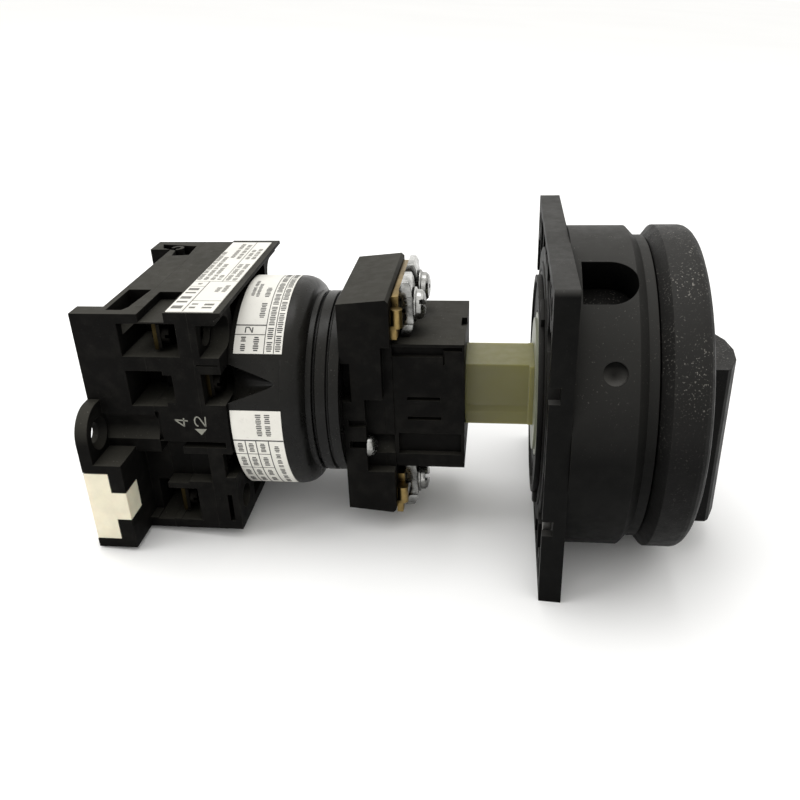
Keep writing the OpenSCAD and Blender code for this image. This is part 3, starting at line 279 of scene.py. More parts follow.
PLAIN_MOULDED = {"rough": 0.42, "grain_scale": 1800.0, "grain": 0.1, "dust": 0.1}
# The top sheen given for these looks is a painted sheen on faces that look up.
MOULDED = {
    "block": dict(
        name="moulded_black", base=(0.0042, 0.004, 0.0037), wear_and_highlight=(0.042, 0.04, 0.034),
        rough=0.5, grain_scale=2400.0, grain=0.25, dust=0.3,
        top_sheen=(0.9, (0.046, 0.044, 0.037)), specular=0.03,
    ),
    "drum": dict(
        name="drum_black", base=(0.0036, 0.0035, 0.0033), wear_and_highlight=(0.03, 0.029, 0.026),
        rough=0.3, grain_scale=1500.0, grain=0.1, dust=0.2,
        top_sheen=(0.8, (0.02, 0.019, 0.016)), specular=0.14,
    ),
    "handle": dict(
        name="handle_black", base=(0.003, 0.003, 0.0028), wear_and_highlight=(0.036, 0.035, 0.031),
        rough=0.5, grain_scale=3200.0, grain=0.3, dust=0.3, streak=0.05,
        top_sheen=(0.9, (0.046, 0.045, 0.042)), specular=0.05,
    ),
    "knob": dict(
        name="knob_black", base=(0.0032, 0.0031, 0.003), wear_and_highlight=(0.036, 0.035, 0.031),
        rough=0.48, grain_scale=2100.0, grain=0.75, dust=0.6, streak=0.04,
        top_sheen=(0.85, (0.036, 0.035, 0.033)), speck=0.61, specular=0.07,
    ),
    # The drill floor's top sheen is a painted highlight on the upper side of its cone.
    "point": dict(
        name="drill_floor", base=(0.004, 0.004, 0.0038), wear_and_highlight=(0.03, 0.029, 0.026),
        rough=0.35, grain_scale=900.0, grain=0.3, dust=0.1, edge=0.05,
        top_sheen=(0.95, (0.1, 0.097, 0.09)), specular=0.02,
    ),
    "cream": dict(
        PLAIN_MOULDED, name="cream_plastic", base=(0.70, 0.65, 0.50), wear_and_highlight=(0.58, 0.53, 0.42),
        edge=0.3, streak=0.1, glow=(0.12, 0.002),
    ),
    "pale": dict(PLAIN_MOULDED, name="pale_plastic", base=(0.62, 0.59, 0.5), wear_and_highlight=(0.5, 0.47, 0.4)),
    "hub": dict(PLAIN_MOULDED, name="hub_nylon", base=(0.19, 0.2, 0.14), wear_and_highlight=(0.3, 0.3, 0.22)),
    "red": dict(PLAIN_MOULDED, name="red_plastic", base=(0.45, 0.05, 0.035), wear_and_highlight=(0.5, 0.2, 0.15)),
}
METALS = {
    "brass": dict(
        name="brass", base=(0.3, 0.215, 0.085), patch_tone=(0.1, 0.065, 0.024), rough=0.32,
        brush=(1.0, 6.0, 1.0), tarnish_and_reflection=0.6,
    ),
    # A painted-shade copy of brass, darkened all over for the terminal strips deep in the housing.
    "painted_shade_brass": dict(
        name="painted_shade_brass", base=(0.03, 0.022, 0.008), patch_tone=(0.008, 0.006, 0.0025), rough=0.42,
        brush=(1.0, 6.0, 1.0), tarnish_and_reflection=0.6, reach=12, darkest=0.0,
    ),
    # On zinc the strong dark patches are partly tarnish and partly painted dark reflections, and
    # the darker faces that don't look up are painted shade.
    "zinc": dict(
        name="zinc_plated", base=(0.62, 0.62, 0.6), patch_tone=(0.1, 0.1, 0.09), rough=0.2,
        brush=(1.0, 4.0, 4.0), tarnish_and_reflection=0.85, under=0.42,
    ),
    "steel": dict(
        name="plain_steel", base=(0.33, 0.325, 0.31), patch_tone=(0.13, 0.12, 0.105), rough=0.34,
        brush=(4.0, 1.0, 1.0), tarnish_and_reflection=0.5,
    ),
    # A painted-shade copy of steel, darkened all over for the terminal screws deep in the housing.
    "painted_shade_steel": dict(
        name="painted_shade_steel", base=(0.009, 0.0085, 0.0075), patch_tone=(0.004, 0.0035, 0.003), rough=0.45,
        brush=(4.0, 1.0, 1.0), tarnish_and_reflection=0.6, reach=12, darkest=0.0,
    ),
    "spring": dict(
        name="spring_wire", base=(0.5, 0.5, 0.5), patch_tone=(0.25, 0.24, 0.22), rough=0.3,
        brush=(1.0, 1.0, 1.0), tarnish_and_reflection=0.4,
    ),
}
MATERIALS = {
    **{look: moulded(**settings) for look, settings in MOULDED.items()},
    "nylon": nylon(),
    **{look: metal(**settings) for look, settings in METALS.items()},
    "label": label_film("label_film", (0.74, 0.725, 0.67), (0.66, 0.645, 0.59)),
    "ink": ink(
        "print_dark", 2500.0,
        [(0.3, (0.02, 0.02, 0.02)), (0.8, (0.09, 0.088, 0.082))], (0.45, 0.6),
    ),
    "faded_ink": ink(
        "print_faded", 1800.0,
        [(0.3, (0.07, 0.067, 0.058)), (0.75, (0.2, 0.19, 0.165))], (0.45, 0.6),
    ),
    "pale_ink": ink(
        "print_pale", 1500.0,
        [(0.3, (0.15, 0.15, 0.125)), (0.7, (0.22, 0.22, 0.185))], (0.5, 0.65),
    ),
}

SLOT_LOOK = {
    "block_black": "block", "handle_black": "handle", "cream_plastic": "cream", "nylon": "nylon",
    "pale_plastic": "pale", "red_plastic": "red", "label": "label", "brass": "brass",
    "zinc_plated": "zinc", "steel": "steel", "spring_steel": "spring",
}
NODE_LOOK = {
    "latch_drum": "drum", "bearing_cap": "drum", "knob": "knob",
    # The terminals deep in the housing take the painted-shade copies of brass and steel.
    "terminal_strips_1": "painted_shade_brass", "terminal_strips_2": "painted_shade_brass",
    "terminal_screws_1": "painted_shade_steel", "terminal_screws_2": "painted_shade_steel",
}


def dress_nodes():
    """Each CAD node gets the look of its own name, or else of its material slot."""
    for part in frame["record"]["subparts"]:
        name = part["node"]
        look = NODE_LOOK.get(name) or SLOT_LOOK[part["material_slot"]]
        data = NODES[name].data
        data.materials.clear()
        data.materials.append(MATERIALS[look])


dress_nodes()


# ---------------------------------------------------------------- finer pieces, in mm

MERGE = 0.0001 * MM
SMOOTH_ANGLE = 32
BEVEL_ANGLE = 35
BEVEL_SEGMENTS = 3
ROUND_SEGMENTS = 32
CONE_SEGMENTS = 48
SIDES = (-1, 1)


def finished(made):
    """The mesh of a bmesh, with coinciding corners joined and faces turned outward."""
    bmesh.ops.remove_doubles(made, verts=made.verts, dist=MERGE)
    bmesh.ops.recalc_face_normals(made, faces=made.faces)
    mesh = bpy.data.meshes.new("form")
    made.to_mesh(mesh)
    made.free()
    return mesh


def corner(made, x, y, z):
    """A new corner of the bmesh at a place in mm."""
    return made.verts.new(Vector((x, y, z)) * MM)


def turned(outline, y=0.0, z=0.0, segments=96):
    """A closed (x, radius) outline turned about a line along X."""
    made = bmesh.new()
    rings = []
    for i in range(segments):
        angle = 2 * math.pi * i / segments
        across, up = math.cos(angle), math.sin(angle)
        rings.append([corner(made, x, y + r * across, z + r * up) for x, r in outline])
    for i, ring in enumerate(rings):
        after = rings[(i + 1) % segments]
        for j in range(len(outline)):
            k = (j + 1) % len(outline)
            made.faces.new((ring[j], ring[k], after[k], after[j]))
    return finished(made)


def prism(made, first, last):
    """The prism between two rings of corners in the bmesh."""
    made.faces.new(first)
    made.faces.new(last[::-1])
    for j in range(len(first)):
        k = (j + 1) % len(first)
        made.faces.new((first[j], first[k], last[k], last[j]))
    return finished(made)


def profile(outline, y0, y1):
    """A closed (x, z) outline drawn out along Y."""
    made = bmesh.new()
    near, far = ([corner(made, x, y, z) for x, z in outline] for y in (y0, y1))
    return prism(made, near, far)


def post(x, y, r, z0, z1):
    """A round post along Z."""
    made = bmesh.new()
    angles = [2 * math.pi * i / ROUND_SEGMENTS for i in range(ROUND_SEGMENTS)]
    foot, top = (
        [corner(made, x + r * math.cos(a), y + r * math.sin(a), z) for a in angles]
        for z in (z0, z1)
    )
    return prism(made, foot, top)


def block(x0, x1, y0, y1, z0, z1):
    """A box between two places on each axis."""
    return profile([(x0, z0), (x1, z0), (x1, z1), (x0, z1)], y0, y1)


def side_block(side, x0, x1, inner, outer, z0, z1):
    """A block between two distances from the middle plane, towards -Y or +Y."""
    return block(x0, x1, *sorted((side * inner, side * outer)), z0, z1)


def spun(mesh, degrees):
    """The mesh turned about the part's axis."""
    mesh.transform(Matrix.Rotation(math.radians(degrees), 4, "X"))
    return mesh


def moved(mesh, x, y, z):
    """The mesh shifted by some mm."""
    mesh.transform(Matrix.Translation(Vector((x, y, z)) * MM))
    return mesh


def temporary(mesh):
    """An object for one Boolean, removed again by combined."""
    made = bpy.data.objects.new("temporary", mesh)
    bpy.context.scene.collection.objects.link(made)
    return made


def combined(base, operation, others, bevel=0.0):
    """The mesh that a Boolean with each of the others gives, then its edges rounded."""
    target = temporary(base)
    helpers = [temporary(other) for other in others]
    for helper in helpers:
        step = target.modifiers.new("cut", "BOOLEAN")
        step.operation = operation
        step.solver = "EXACT"
        step.object = helper
    if bevel:
        step = target.modifiers.new("round", "BEVEL")
        step.width = bevel * MM
        step.segments = BEVEL_SEGMENTS
        step.limit_method = "ANGLE"
        step.angle_limit = math.radians(BEVEL_ANGLE)
    graph = bpy.context.evaluated_depsgraph_get()
    mesh = bpy.data.meshes.new_from_object(target.evaluated_get(graph), depsgraph=graph)
    for made in (target, *helpers):
        bpy.data.objects.remove(made)
    return mesh


def together(*meshes):
    """Several meshes as one."""
    made = bmesh.new()
    for mesh in meshes:
        made.from_mesh(mesh)
    mesh = bpy.data.meshes.new("form")
    made.to_mesh(mesh)
    made.free()
    return mesh


def finer(name, mesh, look, body, slot, *nodes, facets=False):
    """A piece on a body, in the place of the CAD nodes if any are named.

    facets keeps its flat faces evenly lit.
    """
    mesh.name = name
    stored_normals = mesh.attributes.get("custom_normal")
    if stored_normals:
        mesh.attributes.remove(stored_normals)
    mesh.materials.clear()
    mesh.materials.append(MATERIALS[look])
    for face in mesh.polygons:
        face.use_smooth = not facets
        face.material_index = 0
    mesh.set_sharp_from_angle(angle=math.radians(SMOOTH_ANGLE))
    piece = bpy.data.objects.new(name, mesh)
    bpy.context.scene.collection.objects.link(piece)
    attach(piece, body)
    if nodes:
        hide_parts(*nodes)


TIE_X = 88.1
TIE_FACE_X = 88.6
TUBE_X = 89.15
TIE_R = 23.0
TIE_LIP_R = 21.8
TIE_BORE_R = 15.5
LUG_ROOT_R = 22.5
LUG_TIP_R = 25.0
LUG_HALF = 2.5
LUG_BACK = 0.3
LUG_ANGLES = (0, 120, 240)
SEAT_R = 2.2
SEAT_FLOOR_X = TUBE_X - 0.12
TIE_BEVEL = 0.1
TIE_SCREW_R = 19.8
TIE_SCREW_FOOT_X = TUBE_X - 0.15
TIE_SCREW_OUTLINE = [
    (88.72, 0), (88.74, 1.1), (88.86, 1.6), (TIE_SCREW_FOOT_X, 1.7), (TIE_SCREW_FOOT_X, 0),
]
TIE_SCREW_ANGLES = (84, 264)
TIE_SLOT = (88.5, 88.95, TIE_SCREW_R - 2, TIE_SCREW_R + 2, -0.28, 0.28)
TIE_SEGMENTS = 160


def tie_ring():
    """Black ring on the knob's tube, with three lugs and two sunk screw seats."""
    ring = turned([
        (TIE_X, TIE_LIP_R), (TIE_X, TIE_R), (TUBE_X, TIE_R), (TUBE_X, TIE_BORE_R),
        (TIE_FACE_X, TIE_BORE_R), (TIE_FACE_X, TIE_LIP_R),
    ], segments=TIE_SEGMENTS)
    lugs = [
        spun(block(TIE_X + LUG_BACK, TUBE_X, LUG_ROOT_R, LUG_TIP_R, -LUG_HALF, LUG_HALF), angle)
        for angle in LUG_ANGLES
    ]
    ring = combined(ring, "UNION", lugs)
    seat = [(TIE_X, 0), (TIE_X, SEAT_R), (SEAT_FLOOR_X, SEAT_R), (SEAT_FLOOR_X, 0)]
    seats = [
        spun(turned(seat, TIE_SCREW_R, 0, ROUND_SEGMENTS), angle) for angle in TIE_SCREW_ANGLES
    ]
    ring = combined(ring, "DIFFERENCE", seats, TIE_BEVEL)
    screws = []
    for angle in TIE_SCREW_ANGLES:
        head = turned(TIE_SCREW_OUTLINE, TIE_SCREW_R, 0, ROUND_SEGMENTS)
        screws.append(spun(combined(head, "DIFFERENCE", [block(*TIE_SLOT)]), angle))
    finer("tie_ring", ring, "handle", "handle", "handle_black", "drive_disc")
    finer("tie_screws", together(*screws), "zinc", "handle", "zinc_plated", "drive_screws")


HUB_R = 15.2
HUB_STEP_R = 14.0
HUB_STEP_X = 88.55
HUB_ROOM = [
    (80.0, 0), (80.0, HUB_STEP_R), (HUB_STEP_X, HUB_STEP_R), (HUB_STEP_X, HUB_R),
    (100.0, HUB_R), (100.0, 0),
]
HUB_SEGMENTS = 128


def drive_hub():
    """The pale disc cut back to the hub that shows inside the tie ring."""
    disc = NODES["drive_disc"].data.copy()
    made = combined(disc, "INTERSECT", [turned(HUB_ROOM, segments=HUB_SEGMENTS)])
    finer("drive_hub", made, "hub", "handle", "pale_plastic", "drive_disc")


DRILL_X = 100.8
DRILL_AIM = (0.8721, 0.4894)
DRILL_OUTLINE = [(30.4, 0), (30.4, 2.13), (32.6, 2.13), (30.5, 0)]


def drill_points():
    """The conical floors of the two small radial holes in the collar."""
    out, up = DRILL_AIM
    for side, name in zip(SIDES, ("drill_point_near", "drill_point_far")):
        point = turned(DRILL_OUTLINE, segments=CONE_SEGMENTS)
        aim = Vector((0.0, side * out, up)).to_track_quat("X", "Z")
        point.transform(aim.to_matrix().to_4x4())
        finer(name, moved(point, DRILL_X, 0, 0), "point", "door_unit", "handle_black")


BORE_RING_OUTLINE = [
    (89.25, 24.2), (89.1, 24.4), (89.1, 25.2), (89.25, 25.45),
    (90.9, 25.45), (90.9, 24.0), (89.5, 24.0),
]
BORE_RING_SEGMENTS = 160


def bore_ring():
    """The door unit's ring, set into the plate's bore around the knob's tube."""
    ring = turned(BORE_RING_OUTLINE, segments=BORE_RING_SEGMENTS)
    finer("bore_ring", ring, "handle", "door_unit", "handle_black", "retaining_ring")


DRUM_X = 28.1
DRUM_END_X = 38.0
DRUM_SKIN_R = 22.66
DRUM_SKIN_INNER_R = 16.5
DRUM_SKIN = [
    (DRUM_X, DRUM_SKIN_INNER_R), (DRUM_X, DRUM_SKIN_R),
    (DRUM_END_X, DRUM_SKIN_R), (DRUM_END_X, DRUM_SKIN_INNER_R),
]
DRUM_SEGMENTS = 240
# x0, x1, then the distances from the middle plane, z0, z1
PIT = (28.0, 39.0, 13, 24, 4.6, 12.6)
FLAT = (28.0, 38.6, 22.3, 26, -6, 6)
FLAT_ANGLE = 25
TROUGH = [(28.0, 0), (28.0, 3.95), (37.5, 0.6), (37.5, 0)]
TROUGH_Y = 19.9
TROUGH_Z = 8.4


def drum():
    """The latch drum, its pits made a tapering trough under a narrow flat on both sides."""
    skin = turned(DRUM_SKIN, segments=DRUM_SEGMENTS)
    plugs = [
        combined(skin.copy(), "INTERSECT", [side_block(side, *PIT)]) for side in SIDES
    ]
    cuts = []
    for side in SIDES:
        cuts.append(turned(TROUGH, side * TROUGH_Y, TROUGH_Z, CONE_SEGMENTS))
        cuts.append(spun(side_block(side, *FLAT), side * FLAT_ANGLE))
    mesh = combined(NODES["latch_drum"].data.copy(), "UNION", plugs)
    mesh = combined(mesh, "DIFFERENCE", cuts)
    finer("drum_shell", mesh, "drum", "switch_block", "block_black", "latch_drum")


TOWER_HALF = 12.3
TOWER_INNER = 11.0
TOWER_OUTSIDE = 13.0
TOWER_FILLS = (
    # x0, x1, z0, z1
    (59.6, 74.0, 11.0, 14.0),
    (62.2, 69.5, 1.8, 3.0),
)
TOWER_CUTS = (
    # x0, x1, depth, z0, z1
    (62.4, 69.1, 1.2, 1.6, 2.4),
    (60.4, 73.4, 1.4, -11.0, -6.0),
    (59.0, 69.8, 1.1, 11.3, 13.4),
    (69.7, 73.6, 1.1, 12.5, 13.4),
    (69.8, 70.1, 0.5, 9.6, 12.6),
)


def tower():
    """The shaft tower's sides with their stepped ledge, slots and long lower recess."""
    fills, cuts = [], []
    for side in SIDES:
        for x0, x1, z0, z1 in TOWER_FILLS:
            fills.append(side_block(side, x0, x1, TOWER_INNER, TOWER_HALF, z0, z1))
        for x0, x1, depth, z0, z1 in TOWER_CUTS:
            cuts.append(side_block(side, x0, x1, TOWER_HALF - depth, TOWER_OUTSIDE, z0, z1))
    mesh = combined(NODES["shaft_tower"].data.copy(), "UNION", fills)
    mesh = combined(mesh, "DIFFERENCE", cuts)
    finer("tower_shell", mesh, "block", "switch_block", "block_black", "shaft_tower", facets=True)


BAR_X = 59.6
BAR_FACE_X = 61.0
FLANGE_X = 63.7
SCREW_PITCH_HALF = 5.4
SCREW_HOLE_X = 58
SCREW_HOLE_R = 2.0
ROWS = (("upper", 19.8), ("lower", -20.6))
BAR_CURL = (60.85, -12.3, 1.15)
BAR_BEVEL = 0.14
CLAMP_HALF = 3.3
CLAMP_WAIST = 0.7
CLAMP_BEVEL = 0.22
CLAMP_TOP = FLANGE_X - BAR_FACE_X
CLAMP_OUTLINE = [
    # x from the bar's face, z from the row's middle
    (0, -5.6), (1.9, -5.5), (2.5, -4.3), (CLAMP_TOP, -3.0), (CLAMP_TOP, 1.6), (2.5, 3.4),
    (2.4, 4.6), (1.9, 5.7), (0.6, 5.7), (0.05, 4.2), (0.1, 2.6), (0.9, 0.6), (1.3, -1.9),
    (0.5, -3.8),
]
BUS_SCREW_OUTLINE = [
    (56.7, 0), (56.7, 1.4), (57.1, 1.75), (FLANGE_X, 1.75), (FLANGE_X, 3.4),
    (FLANGE_X + 0.2, 3.55), (FLANGE_X + 0.5, 3.45), (FLANGE_X + 0.6, 3.05),
    (FLANGE_X + 1.5, 2.95), (FLANGE_X + 2.0, 2.5), (FLANGE_X + 2.25, 1.6), (FLANGE_X + 2.3, 0),
]
BUS_SCREW_CUTS = (
    (FLANGE_X + 1.2, FLANGE_X + 3, -4, 4, -0.45, 0.45),
    (FLANGE_X + 1.0, FLANGE_X + 3, -0.4, 0.4, -1.7, 1.7),
)
BUS_SCREW_SEGMENTS = 64
BUS_SCREW_BEVEL = 0.06
HOUSING_SCREW_OUTLINE = [
    (53.95, 0), (53.95, 1.6), (54.0, 2.2), (54.15, 2.4), (54.7, 2.4), (55.3, 2.1),
    (55.75, 1.5), (55.95, 0.8), (56.0, 0),
]
HOUSING_SCREW_CUTS = ((55.1, 57, -3, 3, -0.3, 0.3), (55.0, 57, -0.3, 0.3, -1.4, 1.4))
HOUSING_SCREW_Y = 13.4
HOUSING_SCREW_Z = -8.5


def screw_hole(end_x, y, z):
    """The round cut for a bus screw, up to end_x."""
    outline = [
        (SCREW_HOLE_X, 0), (SCREW_HOLE_X, SCREW_HOLE_R), (end_x, SCREW_HOLE_R), (end_x, 0),
    ]
    return turned(outline, y, z, ROUND_SEGMENTS)


def bus_bar(z):
    """Brass bar with a narrower end, a foot tab and a curled lip, and its two screw holes."""
    plate = block(BAR_X, BAR_FACE_X, -10.0, 13.4, z - 4.4, z + 3.2)
    bar = combined(plate, "UNION", [
        block(BAR_X, BAR_FACE_X, -12.8, -9.9, z - 4.2, z + 1.4),
        block(BAR_X, BAR_FACE_X - 0.1, -13.4, -10.8, z - 4.4, z - 1.6),
        post(*BAR_CURL, z - 2.2, z + 1.6),
    ])
    holes = [screw_hole(64, side * SCREW_PITCH_HALF, z) for side in SIDES]
    return combined(bar, "DIFFERENCE", holes, BAR_BEVEL)


def clamp(y, z):
    """Bent clamp plate: a hump under the screw's flange between two turned-down lips."""
    outline = [(BAR_FACE_X + x, z + h) for x, h in CLAMP_OUTLINE]
    plate = profile(outline, y - CLAMP_HALF, y + CLAMP_HALF)
    cuts = []
    for side in SIDES:
        edge = y + side * CLAMP_HALF
        waist = edge - CLAMP_WAIST, edge + CLAMP_WAIST
        cuts.append(block(BAR_FACE_X - 1, 66, *waist, z - 3.2, z + 2.6))
    cuts.append(screw_hole(66, y, z))
    return combined(plate, "DIFFERENCE", cuts, CLAMP_BEVEL)


def slotted(outline, segments, cuts, bevel=0.0):
    """A turned screw with slots cut in its head."""
    slots = [block(*cut) for cut in cuts]
    return combined(turned(outline, segments=segments), "DIFFERENCE", slots, bevel)


def bus_screw(y, z, turn):
    """Flanged screw with a domed head and a shank that runs into the housing."""
    head = slotted(BUS_SCREW_OUTLINE, BUS_SCREW_SEGMENTS, BUS_SCREW_CUTS, BUS_SCREW_BEVEL)
    return moved(spun(head, turn), 0, y, z)


def housing_screw(y, turn):
    """Domed head beside the front block, without its hidden shank."""
    head = slotted(HOUSING_SCREW_OUTLINE, CONE_SEGMENTS, HOUSING_SCREW_CUTS)
    return moved(spun(head, turn), 0, y, HOUSING_SCREW_Z)


def zinc_piece(name, meshes, node):
    """Zinc meshes as one piece of the switch block."""
    finer(name, together(*meshes), "zinc", "switch_block", "zinc_plated", node)


def metal_pieces():
    """Both rows of bars, clamps and screws, and the front block's two screws."""
    places = [side * SCREW_PITCH_HALF for side in SIDES]
    for row, z in ROWS:
        bar = bus_bar(z)
        finer(f"{row}_bar", bar, "brass", "switch_block", "brass", f"{row}_bus_bar", facets=True)
        zinc_piece(f"{row}_clamps", [clamp(y, z) for y in places], f"{row}_saddles")
        screws = [bus_screw(y, z, 20 + 9 * y) for y in places]
        zinc_piece(f"{row}_screws", screws, f"{row}_bus_screws")
    screws = [housing_screw(-HOUSING_SCREW_Y, 25), housing_screw(HOUSING_SCREW_Y, 70)]
    zinc_piece("block_screws", screws, "housing_screws")


tie_ring()
drill_points()
drive_hub()
bore_ring()
drum()
tower()
metal_pieces()


# ---------------------------------------------------------------- prints, in mm

MARKER_TOP = 24.55
MARKER_START = 19.05
MARKER_END = 28.0
PANEL_FACE = -23.2
DRUM_PRINT_R = 22.84
# shares of the height, either way from the row's middle
TALL_BAR = 0.5
SHORT_BAR = 0.38
INK_SINK = 0.02
INK_RISE = 0.02
CURVE_STEP = 1.2


def on_marker(x, y, h):
    """The marker label's top face, h mm above it."""
    return x, y, MARKER_TOP + h


def on_panel(x, z, h):
    """The chamber's side towards -Y, h mm in front of it."""
    return x, PANEL_FACE - h, z


def on_drum(x, arc, h):
    """The drum's printed face: x along the axis, arc in mm from -Y towards +Z."""
    angle = arc / DRUM_PRINT_R
    r = DRUM_PRINT_R + h
    return x, -r * math.cos(angle), r * math.sin(angle)


def stroke(start, end, width):
    """A straight line of some width, as a quadrilateral on the printed face."""
    start, end = Vector(start), Vector(end)
    along = (end - start).normalized()
    across = Vector((-along.y, along.x)) * width / 2
    return start - across, end - across, end + across, start + across


def line(points, width):
    """Strokes from point to point."""
    return [stroke(a, b, width) for a, b in zip(points, points[1:])]


def bars(start, end, height, groups, share):
    """A row of short plain bars in groups, fitted between start and end.

    share is how much of its cell each bar fills along the row.
    """
    start, end = Vector(start), Vector(end)
    along = (end - start).normalized()
    across = Vector((-along.y, along.x))
    cell = (end - start).length / (sum(groups) + len(groups) - 1)
    shapes = []
    place = 0
    for group in groups:
        for _ in range(group):
            centre = start + along * cell * (place + 0.5)
            half = across * height * (TALL_BAR if place % 3 else SHORT_BAR)
            shapes.append(stroke(centre - half, centre + half, cell * share))
            place += 1
        place += 1
    return shapes


def print_piece(name, look, surface, shapes):
    """Ink that stands a hair proud of its surface; each shape is a quadrilateral on it."""
    made = bmesh.new()
    for a, b, c, d in shapes:
        count = max(1, math.ceil((b - a).length / CURVE_STEP))
        rings = []
        for i in range(count + 1):
            p, q = a.lerp(b, i / count), d.lerp(c, i / count)
            rings.append([
                made.verts.new(Vector(surface(v.x, v.y, h)) * MM)
                for v, h in ((p, -INK_SINK), (q, -INK_SINK), (q, INK_RISE), (p, INK_RISE))
            ])
        for before, after in zip(rings, rings[1:]):
            for j in range(4):
                k = (j + 1) % 4
                made.faces.new((before[j], before[k], after[k], after[j]))
        made.faces.new(rings[0][::-1])
        made.faces.new(rings[-1])
    bmesh.ops.recalc_face_normals(made, faces=made.faces)
    mesh = bpy.data.meshes.new(name)
    made.to_mesh(mesh)
    made.free()
    mesh.materials.append(MATERIALS[look])
    piece = bpy.data.objects.new(name, mesh)
    bpy.context.scene.collection.objects.link(piece)
    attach(piece, "switch_block")


def marker_print():
    """Rules and rows of bars on the flat label."""
    shapes = line([(22.2, -22.6), (22.2, -5.95)], 0.2)
    shapes += line([(24.72, -5.95), (24.72, 21.1)], 0.16)
    shapes += line([(MARKER_START, -8.9), (22.2, -8.9)], 0.14)
    shapes += line([(22.2, -17.0), (MARKER_END, -17.0)], 0.16)
    shapes += line([(MARKER_START, -5.95), (MARKER_END, -5.95)], 0.1)
    for y, width in ((-20.4, 1.5), (-17.6, 0.8), (-15.3, 1.3), (-12.6, 0.7), (-10.6, 1.2)):
        shapes.append(stroke((19.35, y), (21.45, y), width))
    for x, y, length, width in (
        (22.8, -20.6, 1.2, 0.8), (22.8, -18.8, 1.2, 0.6),
        (25.3, -20.6, 1.9, 0.7), (25.3, -19.0, 1.9, 0.9),
    ):
        shapes.append(stroke((x, y), (x + length, y), width))
    rows = (
        # x, then y from and to, and how many bars each group has
        (20.6, -7.9, -6.9, (2,)),
        (26.8, -12.2, -8.2, (9,)),
        (25.4, -12.2, -9.4, (6,)),
        (19.5, -5.1, 13.9, (9, 4, 8, 3, 10, 5)),
        (20.85, -5.1, 10.2, (5, 9, 3, 7, 8)),
        (22.3, -5.1, 5.3, (4, 3, 9, 5)),
        (23.7, -5.0, -1.9, (2, 4)),
        (25.6, -5.4, 5.3, (7, 6, 5)),
        (27.0, -5.4, 5.4, (3, 9, 7)),
        (22.15, 9.5, 20.0, (13, 9)),
        (23.7, 8.8, 19.2, (5, 4, 5, 4, 5)),
        (25.75, 8.5, 15.4, (4, 6, 4)),
        (27.1, 8.5, 16.1, (5, 3, 4, 4)),
    )
    for x, y0, y1, groups in rows:
        shapes += bars((x, y0), (x, y1), 0.95, groups, 0.58)
    print_piece("marker_print", "faded_ink", on_marker, shapes)


def upper_print():
    """Rules, the number 2 and rows of bars on the drum's upper label."""
    shapes = line([(35.3, 15.2), (35.3, 41.0)], 0.16)
    shapes += line([(37.25, 15.2), (37.25, 41.0)], 0.16)
    shapes += line([(29.2, 21.2), (35.3, 21.2)], 0.26)
    shapes += line([(29.2, 19.1), (35.3, 19.1)], 0.16)
    shapes += line([(31.2, 19.5), (31.2, 20.7), (31.9, 20.7), (32.6, 19.5), (32.6, 20.7)], 0.24)
    shapes += bars((31.0, 15.6), (31.0, 18.7), 1.0, (4, 3), 0.62)
    shapes += bars((33.6, 15.6), (33.6, 18.7), 1.1, (7,), 0.62)
    shapes += bars((30.95, 29.0), (30.95, 35.3), 0.72, (8, 7), 0.55)
    shapes += bars((32.0, 28.7), (32.0, 33.7), 0.72, (12,), 0.55)
    shapes += bars((34.0, 22.9), (34.0, 26.9), 1.1, (9,), 0.55)
    shapes += bars((34.0, 28.6), (34.0, 32.1), 1.1, (7,), 0.55)
    shapes += bars((36.28, 15.5), (36.28, 40.6), 1.15, (5, 6, 11, 8, 9, 6, 7), 0.56)
    shapes += bars((38.05, 15.5), (38.05, 40.4), 1.1, (8, 11, 6, 9, 10, 8), 0.56)
    print_piece("upper_print", "ink", on_drum, shapes)


def lower_print():
    """A ruled table of bars on the drum's lower label."""
    shapes = line([(28.5, -2.75), (38.7, -2.75)], 0.3)
    for x in (30.85, 33.05, 35.6):
        shapes += line([(x, -2.75), (x, -19.45)], 0.2)
    for arc in (-6.35, -10.85):
        shapes += line([(28.5, arc), (35.6, arc)], 0.16)
    shapes += bars((34.1, -1.7), (34.1, 3.2), 1.1, (12,), 0.58)
    shapes += bars((35.9, -1.7), (35.9, 3.2), 1.1, (6, 5), 0.58)
    for x in (29.7, 31.95, 34.3):
        for first, last in ((-3.4, -5.8), (-7.2, -10.2), (-11.7, -14.3), (-15.4, -18.0)):
            shapes += bars((x, first), (x, last), 1.05, (6,), 0.6)
    shapes += bars((37.1, -4.0), (37.1, -18.6), 1.0, (4, 3, 3, 2, 6, 4, 5), 0.6)
    print_piece("lower_print", "ink", on_drum, shapes)


def panel_print():
    """The number 4, an arrow and the number 2 on the chamber's side."""
    width = 0.27
    shapes = line([(17.3, 1.85), (19.95, 1.65)], width)
    shapes += line([(17.35, 1.8), (19.05, 0.42)], width)
    shapes += line([(19.15, 2.25), (19.05, 0.35)], width)
    shapes += line([
        (21.95, 0.5), (21.55, 0.75), (21.35, 1.3), (21.35, 1.9), (21.6, 2.45), (22.0, 2.62),
        (22.35, 2.4), (22.75, 1.7), (23.45, 0.4), (23.6, 2.65),
    ], width)
    tip = 0.04
    arrow = ((21.1, -0.1), (22.34 - tip, -1.45), (22.34 + tip, -1.45), (23.6, -0.1))
    shapes.append(tuple(Vector(point) for point in arrow))
    print_piece("panel_print", "pale_ink", on_panel, shapes)


marker_print()
upper_print()
lower_print()
panel_print()


# ---------------------------------------------------------------- camera, floor and light

